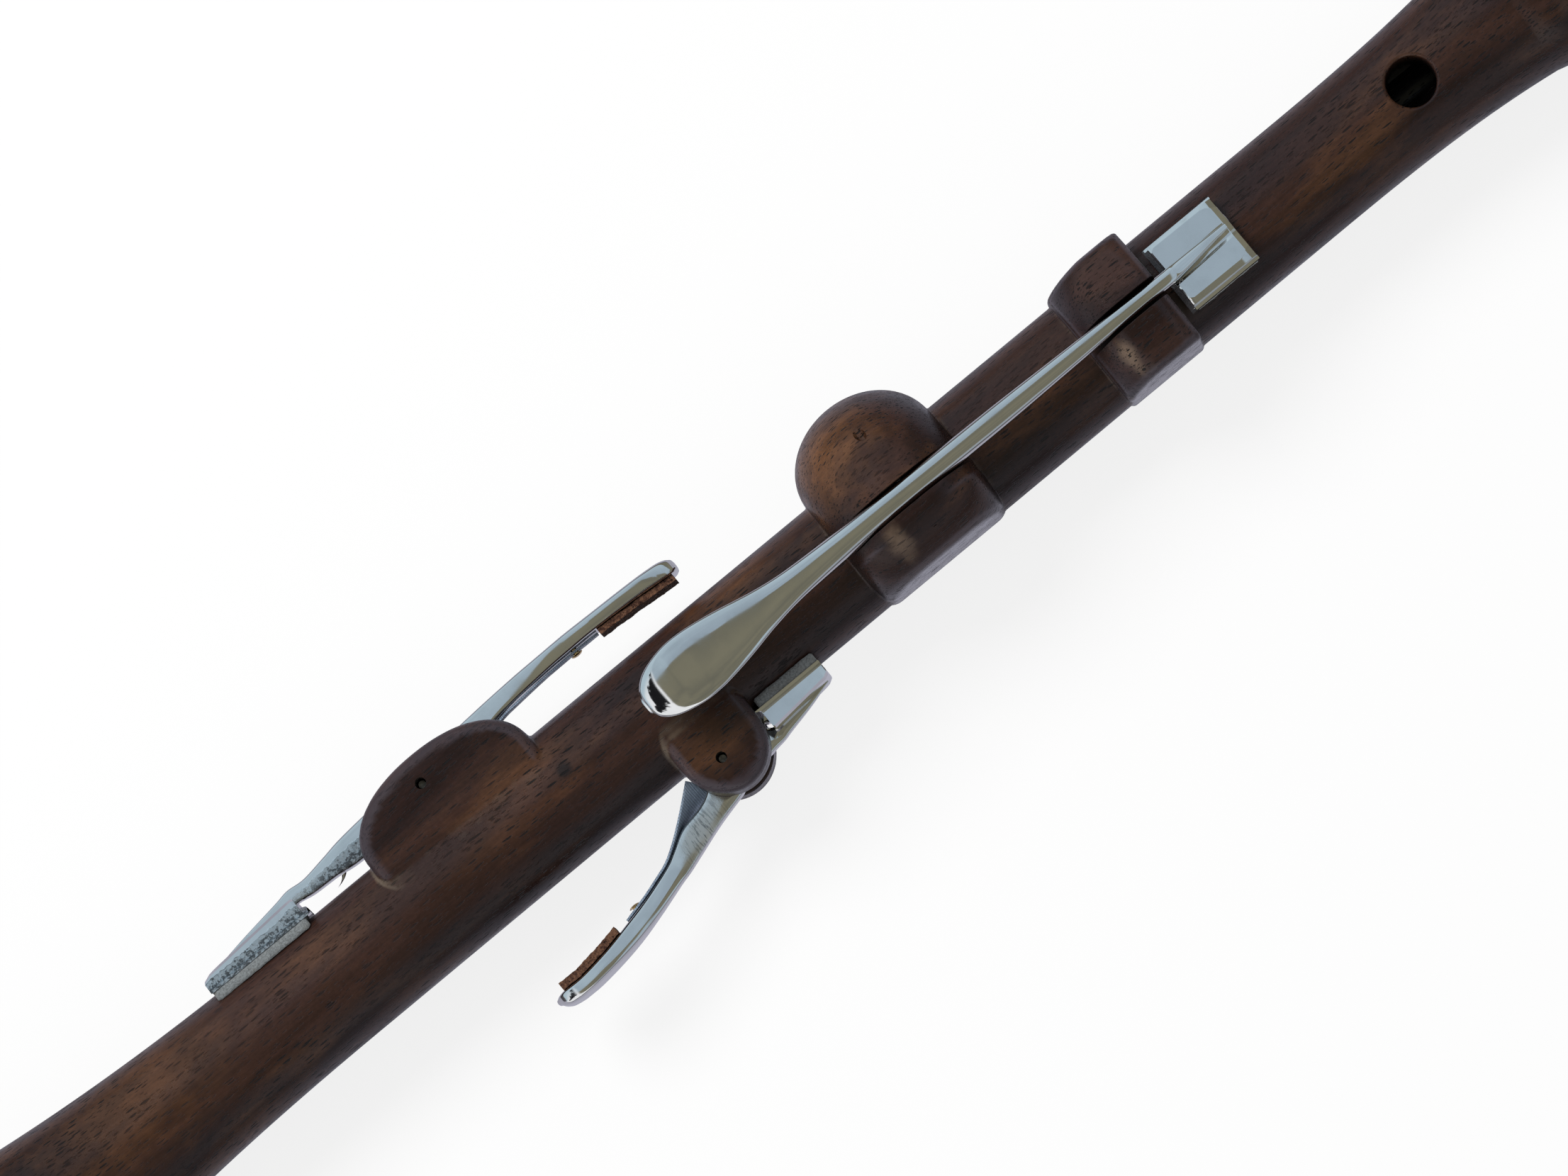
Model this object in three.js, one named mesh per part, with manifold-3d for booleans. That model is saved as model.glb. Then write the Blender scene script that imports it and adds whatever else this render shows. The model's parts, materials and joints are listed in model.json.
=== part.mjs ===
// A keyed chanter of a set of uilleann pipes, the finger pipe that carries the melody.
// It lies as on a table: the thumb side and the long key look up (+Z), the foot points to -X,
// the reed end to +X, and the left key stands out to +Y. All lengths are in millimetres.
import * as THREE from "three";
import { mergeVertices } from "three/addons/utils/BufferGeometryUtils.js";
import Module from "manifold-3d";

const wasm = await Module();
wasm.setup();

const { PI } = Math;
const { clamp, lerp } = THREE.MathUtils;

// Sizes that serve every piece
const overrun = 2; // how far a cutter runs past what it cuts
const fitGap = 0.15; // air between pieces that seat on each other
const runGap = 0.1; // air round a pin
const weld = 0.001; // corners closer than this are one corner
const roundSides = 32;
const holeSides = 20;
const smallSides = 12;

// The turned wood of the chanter. Places along it are shares of its length.
const pipeLength = 346;
const footRadius = 13.4;
const waist = { placeShare: 0.2023, radius: 9.65 };
const grip = { placeShare: 0.7225, radius: 9.3 };
const collar = { radius: 11.4, length: 11, bulge: 1.3, ringGap: 3 };
const footFlarePower = 2.45;
const headFlarePower = 2.8;
const footRing = { length: 7, radius: 14.4, wall: 1.1 };
const headRing = { length: 14, radius: 11.6, wall: 1 };
const tenon = { length: 28, radius: 8.6, lapStart: 3.5, lapLength: 20, lapDepth: 0.9, lapProud: 0.6 };

// The bore, widest at the foot, and the reed seat at the top
const boreFootRadius = 6.6;
const boreThroatRadius = 2.3;
const reedSeat = { depth: 23, radius: 3.6 };

// Open holes: the front ones lie under the fingers, the one on the back under the thumb
const thumbHole = { placeShare: 0.7853, radius: 3.75 };
const frontHoleRadius = 4;
const frontHolePlaceShares = [0.191, 0.283, 0.373, 0.462, 0.543, 0.627, 0.711];
const frontHoleRadiusShares = [0.65, 1, 0.9, 0.75, 0.88, 0.8, 0.65];

// What the three keys have in common
const pin = { radius: 0.75, recess: 0.7 };
const shankHalfWidth = 1.7;
const slotGap = 0.35; // air beside a lever in its slot
const slotFloorRise = 0.35; // height of a slot's floor above the wood's own round
const pad = { thickness: 1.3 };
const flap = {
  halfWidth: 5.9,
  nearThickness: 2,
  farThickness: 1,
  bevel: 0.8,
  skirt: 5,
  spineNearRise: 1.7,
  spineFarRise: 0.15,
  spineLevelShare: 0.15,
  spineDepth: 2.5,
  spineHalfWidth: 1.25,
  spineTipHalfWidth: 0.45,
};
const spring = { thickness: 0.35, halfWidth: 1.2, leadShare: 0.33 };
const rivet = {
  radius: 0.5,
  headRadius: 0.95,
  headHeight: 0.35,
  headGap: 0.22,
  length: 1.3,
  placeShare: 0.25,
};
const corkWidthShare = 0.85;

// Each key stands on its own side of the wood and is turned there about the chanter's axis. Its pin
// sits at a share of the pipe's length.
// Rows of a lever are [share of the arm, top and bottom as shares of the pivot's height, share of the
// half width]. The touch rows run from the tip to the pivot, the flap rows from the pivot outwards.
const longKey = {
  name: "long",
  turn: 0,
  towards: 1,
  placeShare: 0.511,
  pivotHeight: 15,
  touchArm: 49,
  flapArm: 61.4,
  flapLength: 11.9,
  holeRadius: 2.6,
  touchHalfWidth: 5.15,
  corkThickness: 1.8,
  touchShares: [
    [1, 1.245, 1.19, 0.28],
    [0.985, 1.275, 1.16, 0.52],
    [0.955, 1.3, 1.145, 0.74],
    [0.914, 1.31, 1.14, 0.89],
    [0.853, 1.313, 1.135, 1],
    [0.79, 1.308, 1.13, 1],
    [0.72, 1.293, 1.125, 0.92],
    [0.649, 1.273, 1.113, 0.8],
    [0.547, 1.24, 1.085, 0.6],
    [0.445, 1.205, 1.05, 0.46],
    [0.3, 1.155, 0.97, 0.4],
    [0.139, 1.12, 0.9, 0.35],
    [0, 1.107, 0.887, 0.33],
  ],
  flapShares: [
    [0.134, 1.1, 0.887, 0.34],
    [0.3, 1.08, 0.887, 0.335],
    [0.46, 1.045, 0.873, 0.29],
    [0.62, 1.005, 0.84, 0.245],
    [0.72, 0.985, 0.82, 0.23],
  ],
  corkShares: [0.63, 0.93],
  springShares: [0.56, 0.36, 0.14],
};
const leftKey = {
  name: "left",
  turn: -PI / 2,
  towards: -1,
  placeShare: 0.2746,
  pivotHeight: 13.6,
  touchArm: 48.7,
  flapArm: 43.3,
  flapLength: 17.8,
  holeRadius: 3,
  touchHalfWidth: 4,
  corkThickness: 1.9,
  touchShares: [
    [1, 1.18, 1.085, 0.55],
    [0.985, 1.225, 1.08, 0.8],
    [0.95, 1.265, 1.1, 0.95],
    [0.85, 1.29, 1.125, 1],
    [0.7, 1.31, 1.13, 0.85],
    [0.6, 1.322, 1.13, 0.6],
    [0.48, 1.325, 1.125, 0.45],
    [0.33, 1.312, 1.09, 0.42],
    [0.2, 1.29, 0.99, 0.42],
    [0, 1.25, 0.86, 0.42],
  ],
  flapShares: [
    [0.31, 1.18, 0.835, 0.42],
    [0.42, 1.13, 0.87, 0.4],
    [0.52, 1.085, 0.885, 0.36],
  ],
  corkShares: [0.7, 0.98],
  springShares: [0.67, 0.34, 0.07],
};
const rightKey = {
  name: "right",
  turn: PI / 2,
  towards: 1,
  placeShare: 0.3795,
  pivotHeight: 11.7,
  touchArm: 41.2,
  flapArm: 19.9,
  flapLength: 11.2,
  holeRadius: 2.8,
  touchHalfWidth: 4,
  corkThickness: 1.2,
  touchShares: [
    [1, 2.045, 1.965, 0.35],
    [0.985, 2.1, 1.945, 0.62],
    [0.955, 2.145, 1.935, 0.85],
    [0.88, 2.165, 1.94, 1],
    [0.76, 2.13, 1.885, 0.98],
    [0.64, 2.065, 1.79, 0.8],
    [0.52, 1.96, 1.685, 0.58],
    [0.4, 1.835, 1.55, 0.45],
    [0.345, 1.785, 1.45, 0.425],
    [0.27, 1.7, 1.305, 0.425],
    [0.15, 1.565, 1.2, 0.425],
    [0, 1.435, 0.87, 0.425],
  ],
  flapShares: [[0.3, 1.3, 0.9, 0.4]],
  corkShares: [0.68, 0.96],
  springShares: [0.63, 0.42, 0.15],
};
const keys = [longKey, leftKey, rightKey];
for (const key of keys) key.pivotX = key.placeShare * pipeLength;

// The carved blocks that carry the keys
const blockHalfDepth = 8.6; // from the axis to the flats that were sawn front and back
const ball = { beforePin: 1.3, halfLength: 11.5, radius: 18.8, hub: 9, rightCut: 9.9, rightShare: 0.64 };
const guide = { flapGap: 1.9, length: 14.1, radius: 15.3, foot: 10.2, leftNear: 10.1, leftFar: 10.9 };
const guideRightCut = 9.6;
const guideProfileShares = [
  [0, 0],
  [0.1, 0.42],
  [0.3, 0.86],
  [0.6, 1],
  [0.88, 0.98],
  [1, 0.78],
];
const leftBlock = { pastPin: 1.4, halfLength: 15.05, shoulder: 8.9, top: 17.9, edge: 1.3, power: 2.2 };
const rightBlock = { pastPin: 1.1, halfLength: 6.9, shoulder: 10, top: 17.4, edge: 0.7, power: 2 };

// The reed: a brass staple, its lapping, two cane blades, their binding and the bridle
const reed = {
  stapleLength: 37,
  stapleFootRadius: 2.6,
  stapleHeadRadius: 2.2,
  stapleWall: 0.45,
  lapLength: 14,
  overlap: 12,
  bladeThickness: 0.6,
  bladeParting: 0.3,
  sidePower: 0.8,
  lipHalfWidth: 6.3,
  lipHeight: 1.1,
  lipGap: 6.85,
  bindingWall: 0.8,
  bindingTail: 2,
  bridleStart: 3,
  bridleWidth: 2.6,
  bridleWall: 0.45,
};

// The cap over the reed, and the tube by which it hangs from the bag
const cap = {
  length: 84,
  mouthRadius: 13.8,
  crownRadius: 10.6,
  crownDepth: 9.45,
  ferruleLength: 9,
  ferruleWall: 1.1,
  ferruleProud: 0.5,
  crownRingLength: 6.5,
  seatGap: 0.3,
};
const capProfileShares = [
  [0, 1],
  [0.2, 1.04],
  [0.45, 1.03],
  [0.7, 0.94],
  [0.88, 0.82],
  [1, 0.79],
];
const neck = { radius: 6, wall: 1.4, length: 29, inside: 9 };

// Materials
function finish(color, roughness, metalness) {
  return new THREE.MeshStandardMaterial({ color, roughness, metalness });
}
const rosewood = finish(0x4a2c20, 0.42, 0);
const nickel = finish(0xc9cdd0, 0.16, 1);
const steel = finish(0x6d7078, 0.35, 1);
const leather = finish(0xb9bdba, 0.95, 0);
const cork = finish(0x6b4a33, 0.95, 0);
const brass = finish(0xb08d4a, 0.3, 1);
const cane = finish(0xcdb377, 0.6, 0);
const thread = finish(0x7a1f1c, 0.9, 0);

// A closed three.js geometry as a solid that can be cut and joined.
function solid(geometry) {
  const bare = new THREE.BufferGeometry();
  bare.setAttribute("position", geometry.getAttribute("position"));
  bare.setIndex(geometry.index);
  const merged = mergeVertices(bare, weld);
  const { array } = merged.index;
  const kept = [];
  for (let i = 0; i < array.length; i += 3) {
    const [a, b, c] = [array[i], array[i + 1], array[i + 2]];
    if (a !== b && b !== c && c !== a) kept.push(a, b, c);
  }
  const vertProperties = merged.getAttribute("position").array;
  const make = (list) =>
    new wasm.Manifold(new wasm.Mesh({ numProp: 3, vertProperties, triVerts: new Uint32Array(list) }));
  const made = make(kept);
  return made.volume() > 0 ? made : make(kept.reverse());
}

// A solid back as a three.js geometry.
function geometryOf(shape) {
  const { numProp, vertProperties, triVerts } = shape.getMesh();
  const count = vertProperties.length / numProp;
  const position = new Float32Array(3 * count);
  for (let i = 0; i < count; i++) {
    position.set(vertProperties.subarray(i * numProp, i * numProp + 3), 3 * i);
  }
  const geometry = new THREE.BufferGeometry();
  geometry.setAttribute("position", new THREE.BufferAttribute(position, 3));
  return geometry.setIndex(new THREE.BufferAttribute(triVerts, 1));
}

// A solid as a named mesh.
function piece(name, shape, material) {
  const geometry = geometryOf(shape);
  geometry.computeVertexNormals();
  const mesh = new THREE.Mesh(geometry, material);
  mesh.name = name;
  return mesh;
}

// A solid turned about the chanter's axis, to the side where its key stands.
const aside = (shape, key) => solid(geometryOf(shape).rotateX(key.turn));

// A profile of [x, radius] points turned about the X axis, with flat facets above and below.
function turned(profile, sides = roundSides) {
  const points = profile.map(([x, radius]) => new THREE.Vector2(radius, x));
  const geometry = new THREE.LatheGeometry(points, sides, PI / sides);
  return solid(geometry.rotateZ(-PI / 2));
}

// A rod turned about the X axis, closed at both ends.
const rod = (x0, x1, r0, r1 = r0, sides = roundSides) =>
  turned([[x0, 0], [x0, r0], [x1, r1], [x1, 0]], sides);

// A ring about the X axis.
function ring(x0, x1, inner, outer, sides = roundSides) {
  return turned([[x0, inner], [x0, outer], [x1, outer], [x1, inner], [x0, inner]], sides);
}

// A box between two corners.
function block(x0, x1, y0, y1, z0, z1) {
  const geometry = new THREE.BoxGeometry(x1 - x0, y1 - y0, z1 - z0);
  return solid(geometry.translate((x0 + x1) / 2, (y0 + y1) / 2, (z0 + z1) / 2));
}

// A round post between two heights.
function post(x, z0, z1, radius, sides = holeSides) {
  const geometry = new THREE.CylinderGeometry(radius, radius, z1 - z0, sides);
  return solid(geometry.rotateX(PI / 2).translate(x, 0, (z0 + z1) / 2));
}

// A round rod across the chanter, along Y at (x, z).
function crossRod(x, z, y0, y1, radius) {
  const geometry = new THREE.CylinderGeometry(radius, radius, y1 - y0, smallSides);
  return solid(geometry.translate(x, (y0 + y1) / 2, z));
}

// A closed body through rings of corners that all have the same count.
function loft(rings) {
  const sides = rings[0].length;
  const corners = rings.flat();
  const middle = (list) => {
    const sum = new THREE.Vector3();
    list.forEach((corner) => sum.add(corner));
    return sum.divideScalar(list.length);
  };
  corners.push(middle(rings[0]), middle(rings.at(-1)));
  const first = corners.length - 2;
  const last = corners.length - 1;
  const topRow = (rings.length - 1) * sides;
  const index = [];
  for (let j = 0; j < sides; j++) {
    const k = (j + 1) % sides;
    for (let i = 0; i + 1 < rings.length; i++) {
      const row = i * sides;
      index.push(row + j, row + k, row + sides + k, row + j, row + sides + k, row + sides + j);
    }
    index.push(first, k, j, last, topRow + j, topRow + k);
  }
  return solid(new THREE.BufferGeometry().setFromPoints(corners).setIndex(index));
}

// Evenly spaced values from a to b.
const steps = (a, b, count) => Array.from({ length: count + 1 }, (_, i) => lerp(a, b, i / count));

// Places along the chanter, from its foot
const waistX = waist.placeShare * pipeLength;
const gripX = grip.placeShare * pipeLength;
const thumbX = thumbHole.placeShare * pipeLength;
const tenonX = pipeLength - tenon.length;
const throatX = pipeLength - reedSeat.depth;
const headRingX = tenonX - headRing.length;
const collarX = headRingX - collar.ringGap - collar.length;
const ballX = longKey.pivotX - ball.beforePin;
const guideEnd = longKey.pivotX + longKey.flapArm - longKey.flapLength - guide.flapGap;
const guideX = guideEnd - guide.length;
const leftBlockX = leftKey.pivotX + leftBlock.pastPin;
const rightBlockX = rightKey.pivotX + rightBlock.pastPin;

// Outer radius of the chanter's wood at x: a flared foot, a slow taper and a flared head.
function woodRadius(x) {
  const foot = clamp((waistX - x) / (waistX - footRing.length), 0, 1) ** footFlarePower;
  const head = clamp((x - gripX) / (collarX - gripX), 0, 1) ** headFlarePower;
  const middle = lerp(waist.radius, grip.radius, clamp((x - waistX) / (gripX - waistX), 0, 1));
  return middle + (footRadius - waist.radius) * foot + (collar.radius - grip.radius) * head;
}

const slotFloor = (key) => woodRadius(key.pivotX) + slotFloorRise;
const slotHalfWidth = shankHalfWidth + slotGap;

// The turned outline of the wood, from the foot to the tenon's end.
function turnedOutline() {
  const flareSteps = 7;
  const beadSteps = 5;
  const footSeat = footRing.radius - footRing.wall - fitGap;
  const headSeat = headRing.radius - headRing.wall - fitGap;
  const bead = steps(0, 1, beadSteps).map((t) => [
    collarX + t * collar.length,
    lerp(collar.radius, headSeat, t) + collar.bulge * Math.sin(PI * t),
  ]);
  const lap = tenonX + tenon.lapStart;
  const foot = steps(footRing.length + fitGap, waistX, flareSteps);
  const head = steps(gripX, collarX, flareSteps);
  return [
    [0, 0],
    [0, footSeat],
    [footRing.length + fitGap, footSeat],
    ...[...foot, ...head.slice(0, -1)].map((x) => [x, woodRadius(x)]),
    ...bead,
    [tenonX + fitGap, headSeat],
    [tenonX + fitGap, tenon.radius],
    [lap, tenon.radius],
    [lap, tenon.radius - tenon.lapDepth],
    [lap + tenon.lapLength, tenon.radius - tenon.lapDepth],
    [lap + tenon.lapLength, tenon.radius],
    [pipeLength, tenon.radius],
    [pipeLength, 0],
  ];
}

// The two sides of a turned ring, each squashed sideways by its own share.
function squashed(shape, leftShare, rightShare) {
  const far = ball.radius + overrun;
  const half = (share, y0, y1) => {
    const flattened = solid(geometryOf(shape).scale(1, share, 1));
    return flattened.intersect(block(0, pipeLength, y0, y1, -far, far));
  };
  return half(leftShare, 0, far).add(half(rightShare, -far, 0));
}

// What the saw takes off the front of a ring that carries a key, and off its right side.
function ringWaste(rightCut) {
  const far = ball.radius + overrun;
  const front = block(0, pipeLength, -far, far, -far, -blockHalfDepth);
  return front.add(block(0, pipeLength, -far, -rightCut, -far, far));
}

// The ball that carries the long key's pin, round on the left and cut flat on the right.
function ballSolid() {
  const arcSteps = 12;
  const arc = steps(PI, 0, arcSteps).map((angle) => [
    ballX + ball.halfLength * Math.cos(angle),
    ball.hub + (ball.radius - ball.hub) * Math.sin(angle),
  ]);
  const profile = [[arc[0][0], 0], ...arc, [arc.at(-1)[0], 0]];
  return squashed(turned(profile), 1, ball.rightShare).subtract(ringWaste(ball.rightCut));
}

// The ring that guides the long key's shank beside its flap.
function guideSolid() {
  const rise = guide.radius - guide.foot;
  const slope = guideProfileShares.map(([t, share]) => [
    guideX + t * guide.length,
    guide.foot + share * rise,
  ]);
  const profile = [[guideX, 0], ...slope, [guideEnd, 0]];
  const far = guide.radius + overrun;
  const side = new THREE.Shape([
    new THREE.Vector2(guideX - overrun, guide.leftNear),
    new THREE.Vector2(guideX, guide.leftNear),
    new THREE.Vector2((guideX + guideEnd) / 2, guide.leftFar),
    new THREE.Vector2(guideEnd + overrun, guide.leftFar),
    new THREE.Vector2(guideEnd + overrun, far),
    new THREE.Vector2(guideX - overrun, far),
  ]);
  const leftWaste = new THREE.ExtrudeGeometry(side, { depth: far * 2, bevelEnabled: false });
  const shape = turned(profile).subtract(ringWaste(guideRightCut));
  return shape.subtract(solid(leftWaste.translate(0, 0, -far)));
}

// A cheek block with an arched back about x, in its own key's frame, with an eased rim.
function archBlock(x, { halfLength, shoulder, top, edge, power }) {
  const archSteps = 14;
  const bent = (value) => Math.sign(value) * Math.abs(value) ** (2 / power);
  const arch = steps(0, PI, archSteps).map(
    (angle) =>
      new THREE.Vector2(
        x + halfLength * bent(Math.cos(angle)),
        shoulder + (top - shoulder) * bent(Math.sin(angle)),
      ),
  );
  const outline = new THREE.Shape([
    new THREE.Vector2(x - halfLength, 0),
    new THREE.Vector2(x + halfLength, 0),
    ...arch,
  ]);
  const geometry = new THREE.ExtrudeGeometry(outline, {
    depth: 2 * (blockHalfDepth - edge),
    bevelEnabled: true,
    bevelSegments: 2,
    bevelSize: edge,
    bevelThickness: edge,
    bevelOffset: -edge,
  });
  geometry.translate(0, 0, edge - blockHalfDepth);
  return solid(geometry.rotateX(PI / 2));
}

// The slot for a lever, cut between two places along the chanter.
function slot(key, x0, x1) {
  const top = ball.radius + overrun;
  return block(x0 - overrun, x1 + overrun, -slotHalfWidth, slotHalfWidth, slotFloor(key), top);
}

// How far each end of a key's pin reaches from the slot's middle: [right end, left end].
function pinReach(key) {
  if (key !== longKey) return [-blockHalfDepth, blockHalfDepth];
  const chord = Math.sqrt(ball.radius ** 2 - key.pivotHeight ** 2);
  return [-chord * ball.rightShare + pin.recess, chord];
}

// Everything that is cut away for one key: its slot, its pin hole and the hole under its pad.
function keyCuts(key) {
  const [right, left] = pinReach(key);
  const { pivotX, pivotHeight, holeRadius } = key;
  const rightEnd = right - (key === longKey ? 0 : overrun);
  const pinHole = crossRod(pivotX, pivotHeight, rightEnd, left + overrun, pin.radius + runGap);
  const { far, near } = flapPlan(key);
  const hole = post((far + near) / 2, 0, waist.radius + overrun, holeRadius);
  const spans = {
    long: [[ballX - ball.halfLength, ballX + ball.halfLength], [guideX, guideEnd]],
    left: [[leftBlockX - leftBlock.halfLength, leftBlockX + leftBlock.halfLength]],
    right: [[rightBlockX - rightBlock.halfLength, rightBlockX + rightBlock.halfLength]],
  };
  const slots = spans[key.name].map(([x0, x1]) => slot(key, x0, x1));
  return aside([...slots, hole].reduce((sum, cut) => sum.add(cut), pinHole), key);
}

// The chanter's one piece of wood.
function chanterSolid() {
  let wood = turned(turnedOutline());
  const left = aside(archBlock(leftBlockX, leftBlock), leftKey);
  const right = aside(archBlock(rightBlockX, rightBlock), rightKey);
  for (const shape of [ballSolid(), guideSolid(), left, right]) wood = wood.add(shape);
  for (const key of keys) wood = wood.subtract(keyCuts(key));
  frontHolePlaceShares.forEach((share, i) => {
    const radius = frontHoleRadius * frontHoleRadiusShares[i];
    wood = wood.subtract(post(share * pipeLength, -blockHalfDepth - waist.radius, 0, radius));
  });
  wood = wood.subtract(post(thumbX, 0, collar.radius + overrun, thumbHole.radius));
  const bore = rod(-weld, throatX, boreFootRadius, boreThroatRadius);
  const seat = rod(throatX, pipeLength + overrun, reedSeat.radius);
  return wood.subtract(bore).subtract(seat);
}

// A lever in section at x: a rounded bar between two heights.
const sectionCorners = 12;
const sectionSquareness = 0.7;
function barSection(x, top, bottom, halfWidth) {
  const bent = (value) => Math.sign(value) * Math.abs(value) ** sectionSquareness;
  return steps(0, 2 * PI, sectionCorners)
    .slice(0, -1)
    .map((start) => {
      const angle = start + PI / sectionCorners;
      const height = lerp(bottom, top, (1 + bent(Math.sin(angle))) / 2);
      return new THREE.Vector3(x, halfWidth * bent(Math.cos(angle)), height);
    });
}

// Where a key's flap lies and how high it stands over the wood.
function flapPlan(key) {
  const far = key.pivotX + key.towards * key.flapArm;
  const near = far - key.towards * key.flapLength;
  const seat = woodRadius((far + near) / 2) + fitGap;
  const under = seat + pad.thickness + fitGap;
  return { far, near, seat, nearTop: under + flap.nearThickness, farTop: under + flap.farThickness };
}

// Stations of a lever as [x, top, bottom, half width], from its touch to its flap.
function stations(key) {
  const at = (x, [, top, bottom, wide]) => [
    x,
    top * key.pivotHeight,
    bottom * key.pivotHeight,
    wide * key.touchHalfWidth,
  ];
  const { near, nearTop } = flapPlan(key);
  const touch = key.touchShares.map((row) => at(key.pivotX - key.towards * row[0] * key.touchArm, row));
  const shank = key.flapShares.map((row) => at(key.pivotX + key.towards * row[0] * key.flapArm, row));
  const top = nearTop + flap.spineNearRise;
  return [...touch, ...shank, [near, top, top - flap.spineDepth, flap.spineHalfWidth]];
}

// Top, bottom and half width of a lever at a share of its touch arm.
function touchAt(key, share) {
  const rows = key.touchShares;
  const next = Math.max(rows.findIndex(([out]) => out < share), 1);
  const [a, b] = [rows[next - 1], rows[next]];
  const t = (a[0] - share) / (a[0] - b[0]);
  return {
    x: key.pivotX - key.towards * share * key.touchArm,
    bottom: lerp(a[2], b[2], t) * key.pivotHeight,
    halfWidth: lerp(a[3], b[3], t) * key.touchHalfWidth,
  };
}

// The wedge of metal over the pad, with eased upper edges.
function flapSlab(key) {
  const { far, near, nearTop, farTop, seat } = flapPlan(key);
  const wide = flap.halfWidth;
  const slim = wide - flap.bevel;
  const section = (x, top, shoulder) => [
    new THREE.Vector3(x, -wide, seat - flap.skirt),
    new THREE.Vector3(x, wide, seat - flap.skirt),
    new THREE.Vector3(x, wide, shoulder),
    new THREE.Vector3(x, slim, top),
    new THREE.Vector3(x, -slim, top),
    new THREE.Vector3(x, -wide, shoulder),
  ];
  const edge = flap.bevel / 2;
  return loft([
    section(near, nearTop, nearTop - flap.bevel),
    section(far - key.towards * edge, farTop, farTop - edge),
    section(far, farTop - edge, farTop - flap.bevel),
  ]);
}

// The tapering spine that carries the lever on over its flap.
function flapSpine(key) {
  const { far, near, nearTop, farTop } = flapPlan(key);
  const low = farTop - flap.farThickness / 2;
  const top = nearTop + flap.spineNearRise;
  const level = flap.spineLevelShare;
  return loft([
    barSection(near, top, top - flap.spineDepth, flap.spineHalfWidth),
    barSection(lerp(near, far, level), lerp(top, farTop, level), low, flap.spineHalfWidth),
    barSection(far - key.towards * flap.bevel, farTop + flap.spineFarRise, low, flap.spineTipHalfWidth),
  ]);
}

// The round wood under a flap, grown outwards.
function woodUnder(key, grown) {
  const woodSteps = 6;
  const { far, near } = flapPlan(key);
  const xs = steps(Math.min(near, far) - overrun, Math.max(near, far) + overrun, woodSteps);
  const rim = xs.map((x) => [x, woodRadius(x) + fitGap + grown]);
  return turned([[xs[0], 0], ...rim, [xs.at(-1), 0]]);
}

// A lever with its flap, its pin hole and the blind hole for its rivet.
function leverSolid(key) {
  const shank = loft(stations(key).map((row) => barSection(...row)));
  const slab = flapSlab(key).subtract(woodUnder(key, pad.thickness + fitGap));
  const reach = key.touchHalfWidth + overrun;
  const pinHole = crossRod(key.pivotX, key.pivotHeight, -reach, reach, pin.radius + runGap);
  const { x, bottom } = rivetPlace(key);
  const rivetTop = bottom + rivet.length + fitGap;
  const rivetHole = post(x, bottom - overrun, rivetTop, rivet.radius + fitGap, smallSides);
  return shank.add(slab).add(flapSpine(key)).subtract(pinHole).subtract(rivetHole);
}

// The pad, a leaf of leather and felt between flap and wood.
function padSolid(key) {
  return flapSlab(key).intersect(woodUnder(key, pad.thickness)).subtract(woodUnder(key, 0));
}

// The cork under a touch.
function corkSolid(key) {
  const corkSteps = 4;
  const rows = steps(...key.corkShares, corkSteps).map((share) => touchAt(key, share));
  const rings = rows.map(({ x, bottom, halfWidth }) => {
    const half = halfWidth * corkWidthShare;
    const top = bottom - fitGap;
    return [
      new THREE.Vector3(x, -half, top),
      new THREE.Vector3(x, half, top),
      new THREE.Vector3(x, half, top - key.corkThickness),
      new THREE.Vector3(x, -half, top - key.corkThickness),
    ];
  });
  return loft(rings);
}

// Where the spring's rivet goes into the lever.
function rivetPlace(key) {
  const [fixed, leave] = key.springShares;
  return touchAt(key, lerp(fixed, leave, rivet.placeShare));
}

// The leaf spring: it lies along the lever, then leaves it and presses on the wood.
function springSolid(key) {
  const [fixed, leave, tip] = key.springShares;
  const flatSteps = 3;
  const bendSteps = 7;
  const along = steps(fixed, leave, flatSteps).map((share) => touchAt(key, share));
  const flat = along.map(({ x, bottom }) => new THREE.Vector2(x, bottom - fitGap));
  const tipX = key.pivotX - key.towards * tip * key.touchArm;
  const floor = Math.max(slotFloor(key), woodRadius(tipX)) + fitGap + spring.thickness;
  const start = flat.at(-1);
  const lead = start.clone().sub(flat.at(-2)).setLength(Math.abs(tipX - start.x) * spring.leadShare);
  const end = new THREE.Vector2(tipX, floor);
  const curve = new THREE.QuadraticBezierCurve(start, start.clone().add(lead), end);
  const line = [...flat, ...curve.getPoints(bendSteps).slice(1)];
  const rings = line.map(({ x, y }, i) => {
    const before = line[Math.max(i - 1, 0)];
    const after = line[Math.min(i + 1, line.length - 1)];
    const run = after.clone().sub(before);
    const across = new THREE.Vector2(run.y, -run.x).setLength(spring.thickness);
    if (across.y > 0) across.negate();
    return [
      new THREE.Vector3(x, -spring.halfWidth, y),
      new THREE.Vector3(x, spring.halfWidth, y),
      new THREE.Vector3(x + across.x, spring.halfWidth, y + across.y),
      new THREE.Vector3(x + across.x, -spring.halfWidth, y + across.y),
    ];
  });
  const { x, bottom } = rivetPlace(key);
  return loft(rings).subtract(post(x, bottom - overrun, bottom + overrun, rivet.radius + fitGap, smallSides));
}

// The rivet that holds the spring to the lever.
function rivetSolid(key) {
  const { x, bottom } = rivetPlace(key);
  const face = bottom - fitGap - spring.thickness - rivet.headGap;
  const shank = post(x, face - rivet.headHeight / 2, bottom + rivet.length, rivet.radius, smallSides);
  return shank.add(post(x, face - rivet.headHeight, face, rivet.headRadius, smallSides));
}

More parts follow.
